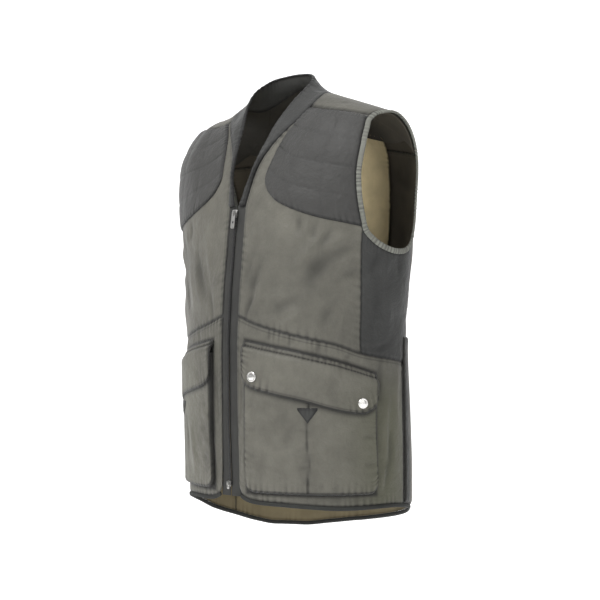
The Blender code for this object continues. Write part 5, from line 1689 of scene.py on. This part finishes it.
def glowing(name, colour, roughness, strength):
    """A pale finish that gives a little white light of its own"""
    tree = NodeTree(name)
    tree.shader.inputs["Base Color"].default_value = colour
    tree.shader.inputs["Roughness"].default_value = roughness
    tree.shader.inputs["Emission Color"].default_value = WHITE
    tree.shader.inputs["Emission Strength"].default_value = strength
    return tree.material


def sweep_path():
    """How far from the camera and how high each row of the floor and backdrop is"""
    path = []
    for k in range(SWEEP_ROWS + 1):
        t = k / SWEEP_ROWS
        if t < FLAT_SHARE:
            path.append((FLAT_FROM + (FLAT_TO - FLAT_FROM) * t / FLAT_SHARE, FLOOR_LEVEL))
        elif t < FLAT_SHARE + BEND_SHARE:
            turn = (t - FLAT_SHARE) / BEND_SHARE * math.pi / 2
            path.append((FLAT_TO + BEND_RADIUS * math.sin(turn),
                         FLOOR_LEVEL + BEND_RADIUS * (1 - math.cos(turn))))
        else:
            rise = RISE_HEIGHT * (t - FLAT_SHARE - BEND_SHARE) / RISE_SHARE
            path.append((FLAT_TO + BEND_RADIUS, FLOOR_LEVEL + BEND_RADIUS + rise))
    return path


class GILET_OT_stage(bpy.types.Operator):
    """Pale floor and backdrop, soft light and the camera"""
    bl_idname = "gilet.stage"
    bl_label = "Set Stage"

    def execute(self, context):
        ahead = Vector((-math.sin(CAMERA_TURN), math.cos(CAMERA_TURN), 0))
        right = Vector((math.cos(CAMERA_TURN), math.sin(CAMERA_TURN), 0))
        sweep = add_new(bpy.ops.mesh.primitive_grid_add, "floor_and_backdrop",
                        x_subdivisions=SWEEP_COLUMNS, y_subdivisions=SWEEP_ROWS, size=1.0)
        across = [SWEEP_WIDTH * (i / SWEEP_COLUMNS - 0.5) for i in range(SWEEP_COLUMNS + 1)]
        points = [[ahead * far + right * side + Vector((0, 0, height)) for side in across]
                  for far, height in sweep_path()]
        put_points(sweep, np.array(points) / MM)
        smooth(sweep, 60.0)
        sweep.data.materials.append(glowing("pale backdrop", (0.90, 0.90, 0.90, 1.0), 0.9, 0.55))
        surround = add_new(bpy.ops.mesh.primitive_uv_sphere_add, "pale_surround", segments=48,
                           ring_count=24, radius=SURROUND_RADIUS)
        surround.data.materials.append(glowing("pale surround", (0.0, 0.0, 0.0, 1.0), 0.5, 1.0))
        surround.visible_diffuse = False
        surround.visible_glossy = False
        surround.visible_shadow = False
        for name, spot, size, power in LIGHTS:
            light = add_new(bpy.ops.object.light_add, name, type="AREA", location=spot)
            light.data.energy = power
            light.data.size = size
            light.rotation_euler = (LIGHTS_AIM - Vector(spot)).to_track_quat("-Z", "Y").to_euler()
        context.scene.view_settings.view_transform = "Standard"
        world = bpy.data.worlds.new("soft room")
        context.scene.world = world
        world.use_nodes = True
        world.node_tree.nodes["Background"].inputs["Color"].default_value = WHITE
        world.node_tree.nodes["Background"].inputs["Strength"].default_value = 0.38
        target = CAMERA_AIM + right * CAMERA_SHIFT
        camera = add_new(bpy.ops.object.camera_add, "photo_camera",
                         location=target - ahead * CAMERA_DISTANCE)
        camera.rotation_euler = (math.radians(90), 0, CAMERA_TURN)
        camera.data.lens = CAMERA_LENS
        camera.data.sensor_width = CAMERA_SENSOR
        context.scene.camera = camera
        return {"FINISHED"}


class GiletSizes(bpy.types.PropertyGroup):
    """Sizes of the trim"""
    stud_radius: FloatProperty(name="Stud radius", description="Radius of a press stud's cap",
                               default=0.0078, min=0.004, max=0.010, unit="LENGTH")
    binding_width: FloatProperty(name="Binding width", description="Width of the armhole binding",
                                 default=0.0085, min=0.004, max=0.012, unit="LENGTH")
    stitch_length: FloatProperty(name="Stitch length", description="Length of one top stitch",
                                 default=0.0026, min=0.0015, max=0.005, unit="LENGTH")


OPERATORS = (
    GILET_OT_materials, GILET_OT_fronts, GILET_OT_patches, GILET_OT_yoke, GILET_OT_back, GILET_OT_sides,
    GILET_OT_skirts, GILET_OT_game_pocket, GILET_OT_pockets, GILET_OT_flaps, GILET_OT_studs,
    GILET_OT_neck_band, GILET_OT_bindings, GILET_OT_zip, GILET_OT_sliders, GILET_OT_stitching,
    GILET_OT_stage,
)


class GILET_PT_panel(bpy.types.Panel):
    """Sidebar panel of the gilet"""
    bl_idname = "GILET_PT_panel"
    bl_label = "Shooting Gilet"
    bl_space_type = "VIEW_3D"
    bl_region_type = "UI"
    bl_category = "Gilet"

    def draw(self, context):
        for group in (context.scene.gilet_sizes, context.scene.gilet_colours):
            for key in group.bl_rna.properties.keys():
                if key not in ("rna_type", "name"):
                    self.layout.prop(group, key)
        for operator in OPERATORS:
            self.layout.operator(operator.bl_idname)


CLASSES = (GiletColours, GiletSizes) + OPERATORS + (GILET_PT_panel,)


def register():
    for item in CLASSES:
        bpy.utils.register_class(item)
    bpy.types.Scene.gilet_colours = PointerProperty(type=GiletColours)
    bpy.types.Scene.gilet_sizes = PointerProperty(type=GiletSizes)


def unregister():
    del bpy.types.Scene.gilet_sizes
    del bpy.types.Scene.gilet_colours
    for item in reversed(CLASSES):
        bpy.utils.unregister_class(item)


def main():
    """Makes every piece in order"""
    register()
    for operator in OPERATORS:
        step = getattr(bpy.ops.gilet, operator.bl_idname.split(".")[1])
        if step() != {"FINISHED"}:
            raise RuntimeError(f"{operator.bl_label} did not finish")


if __name__ == "__main__":
    main()
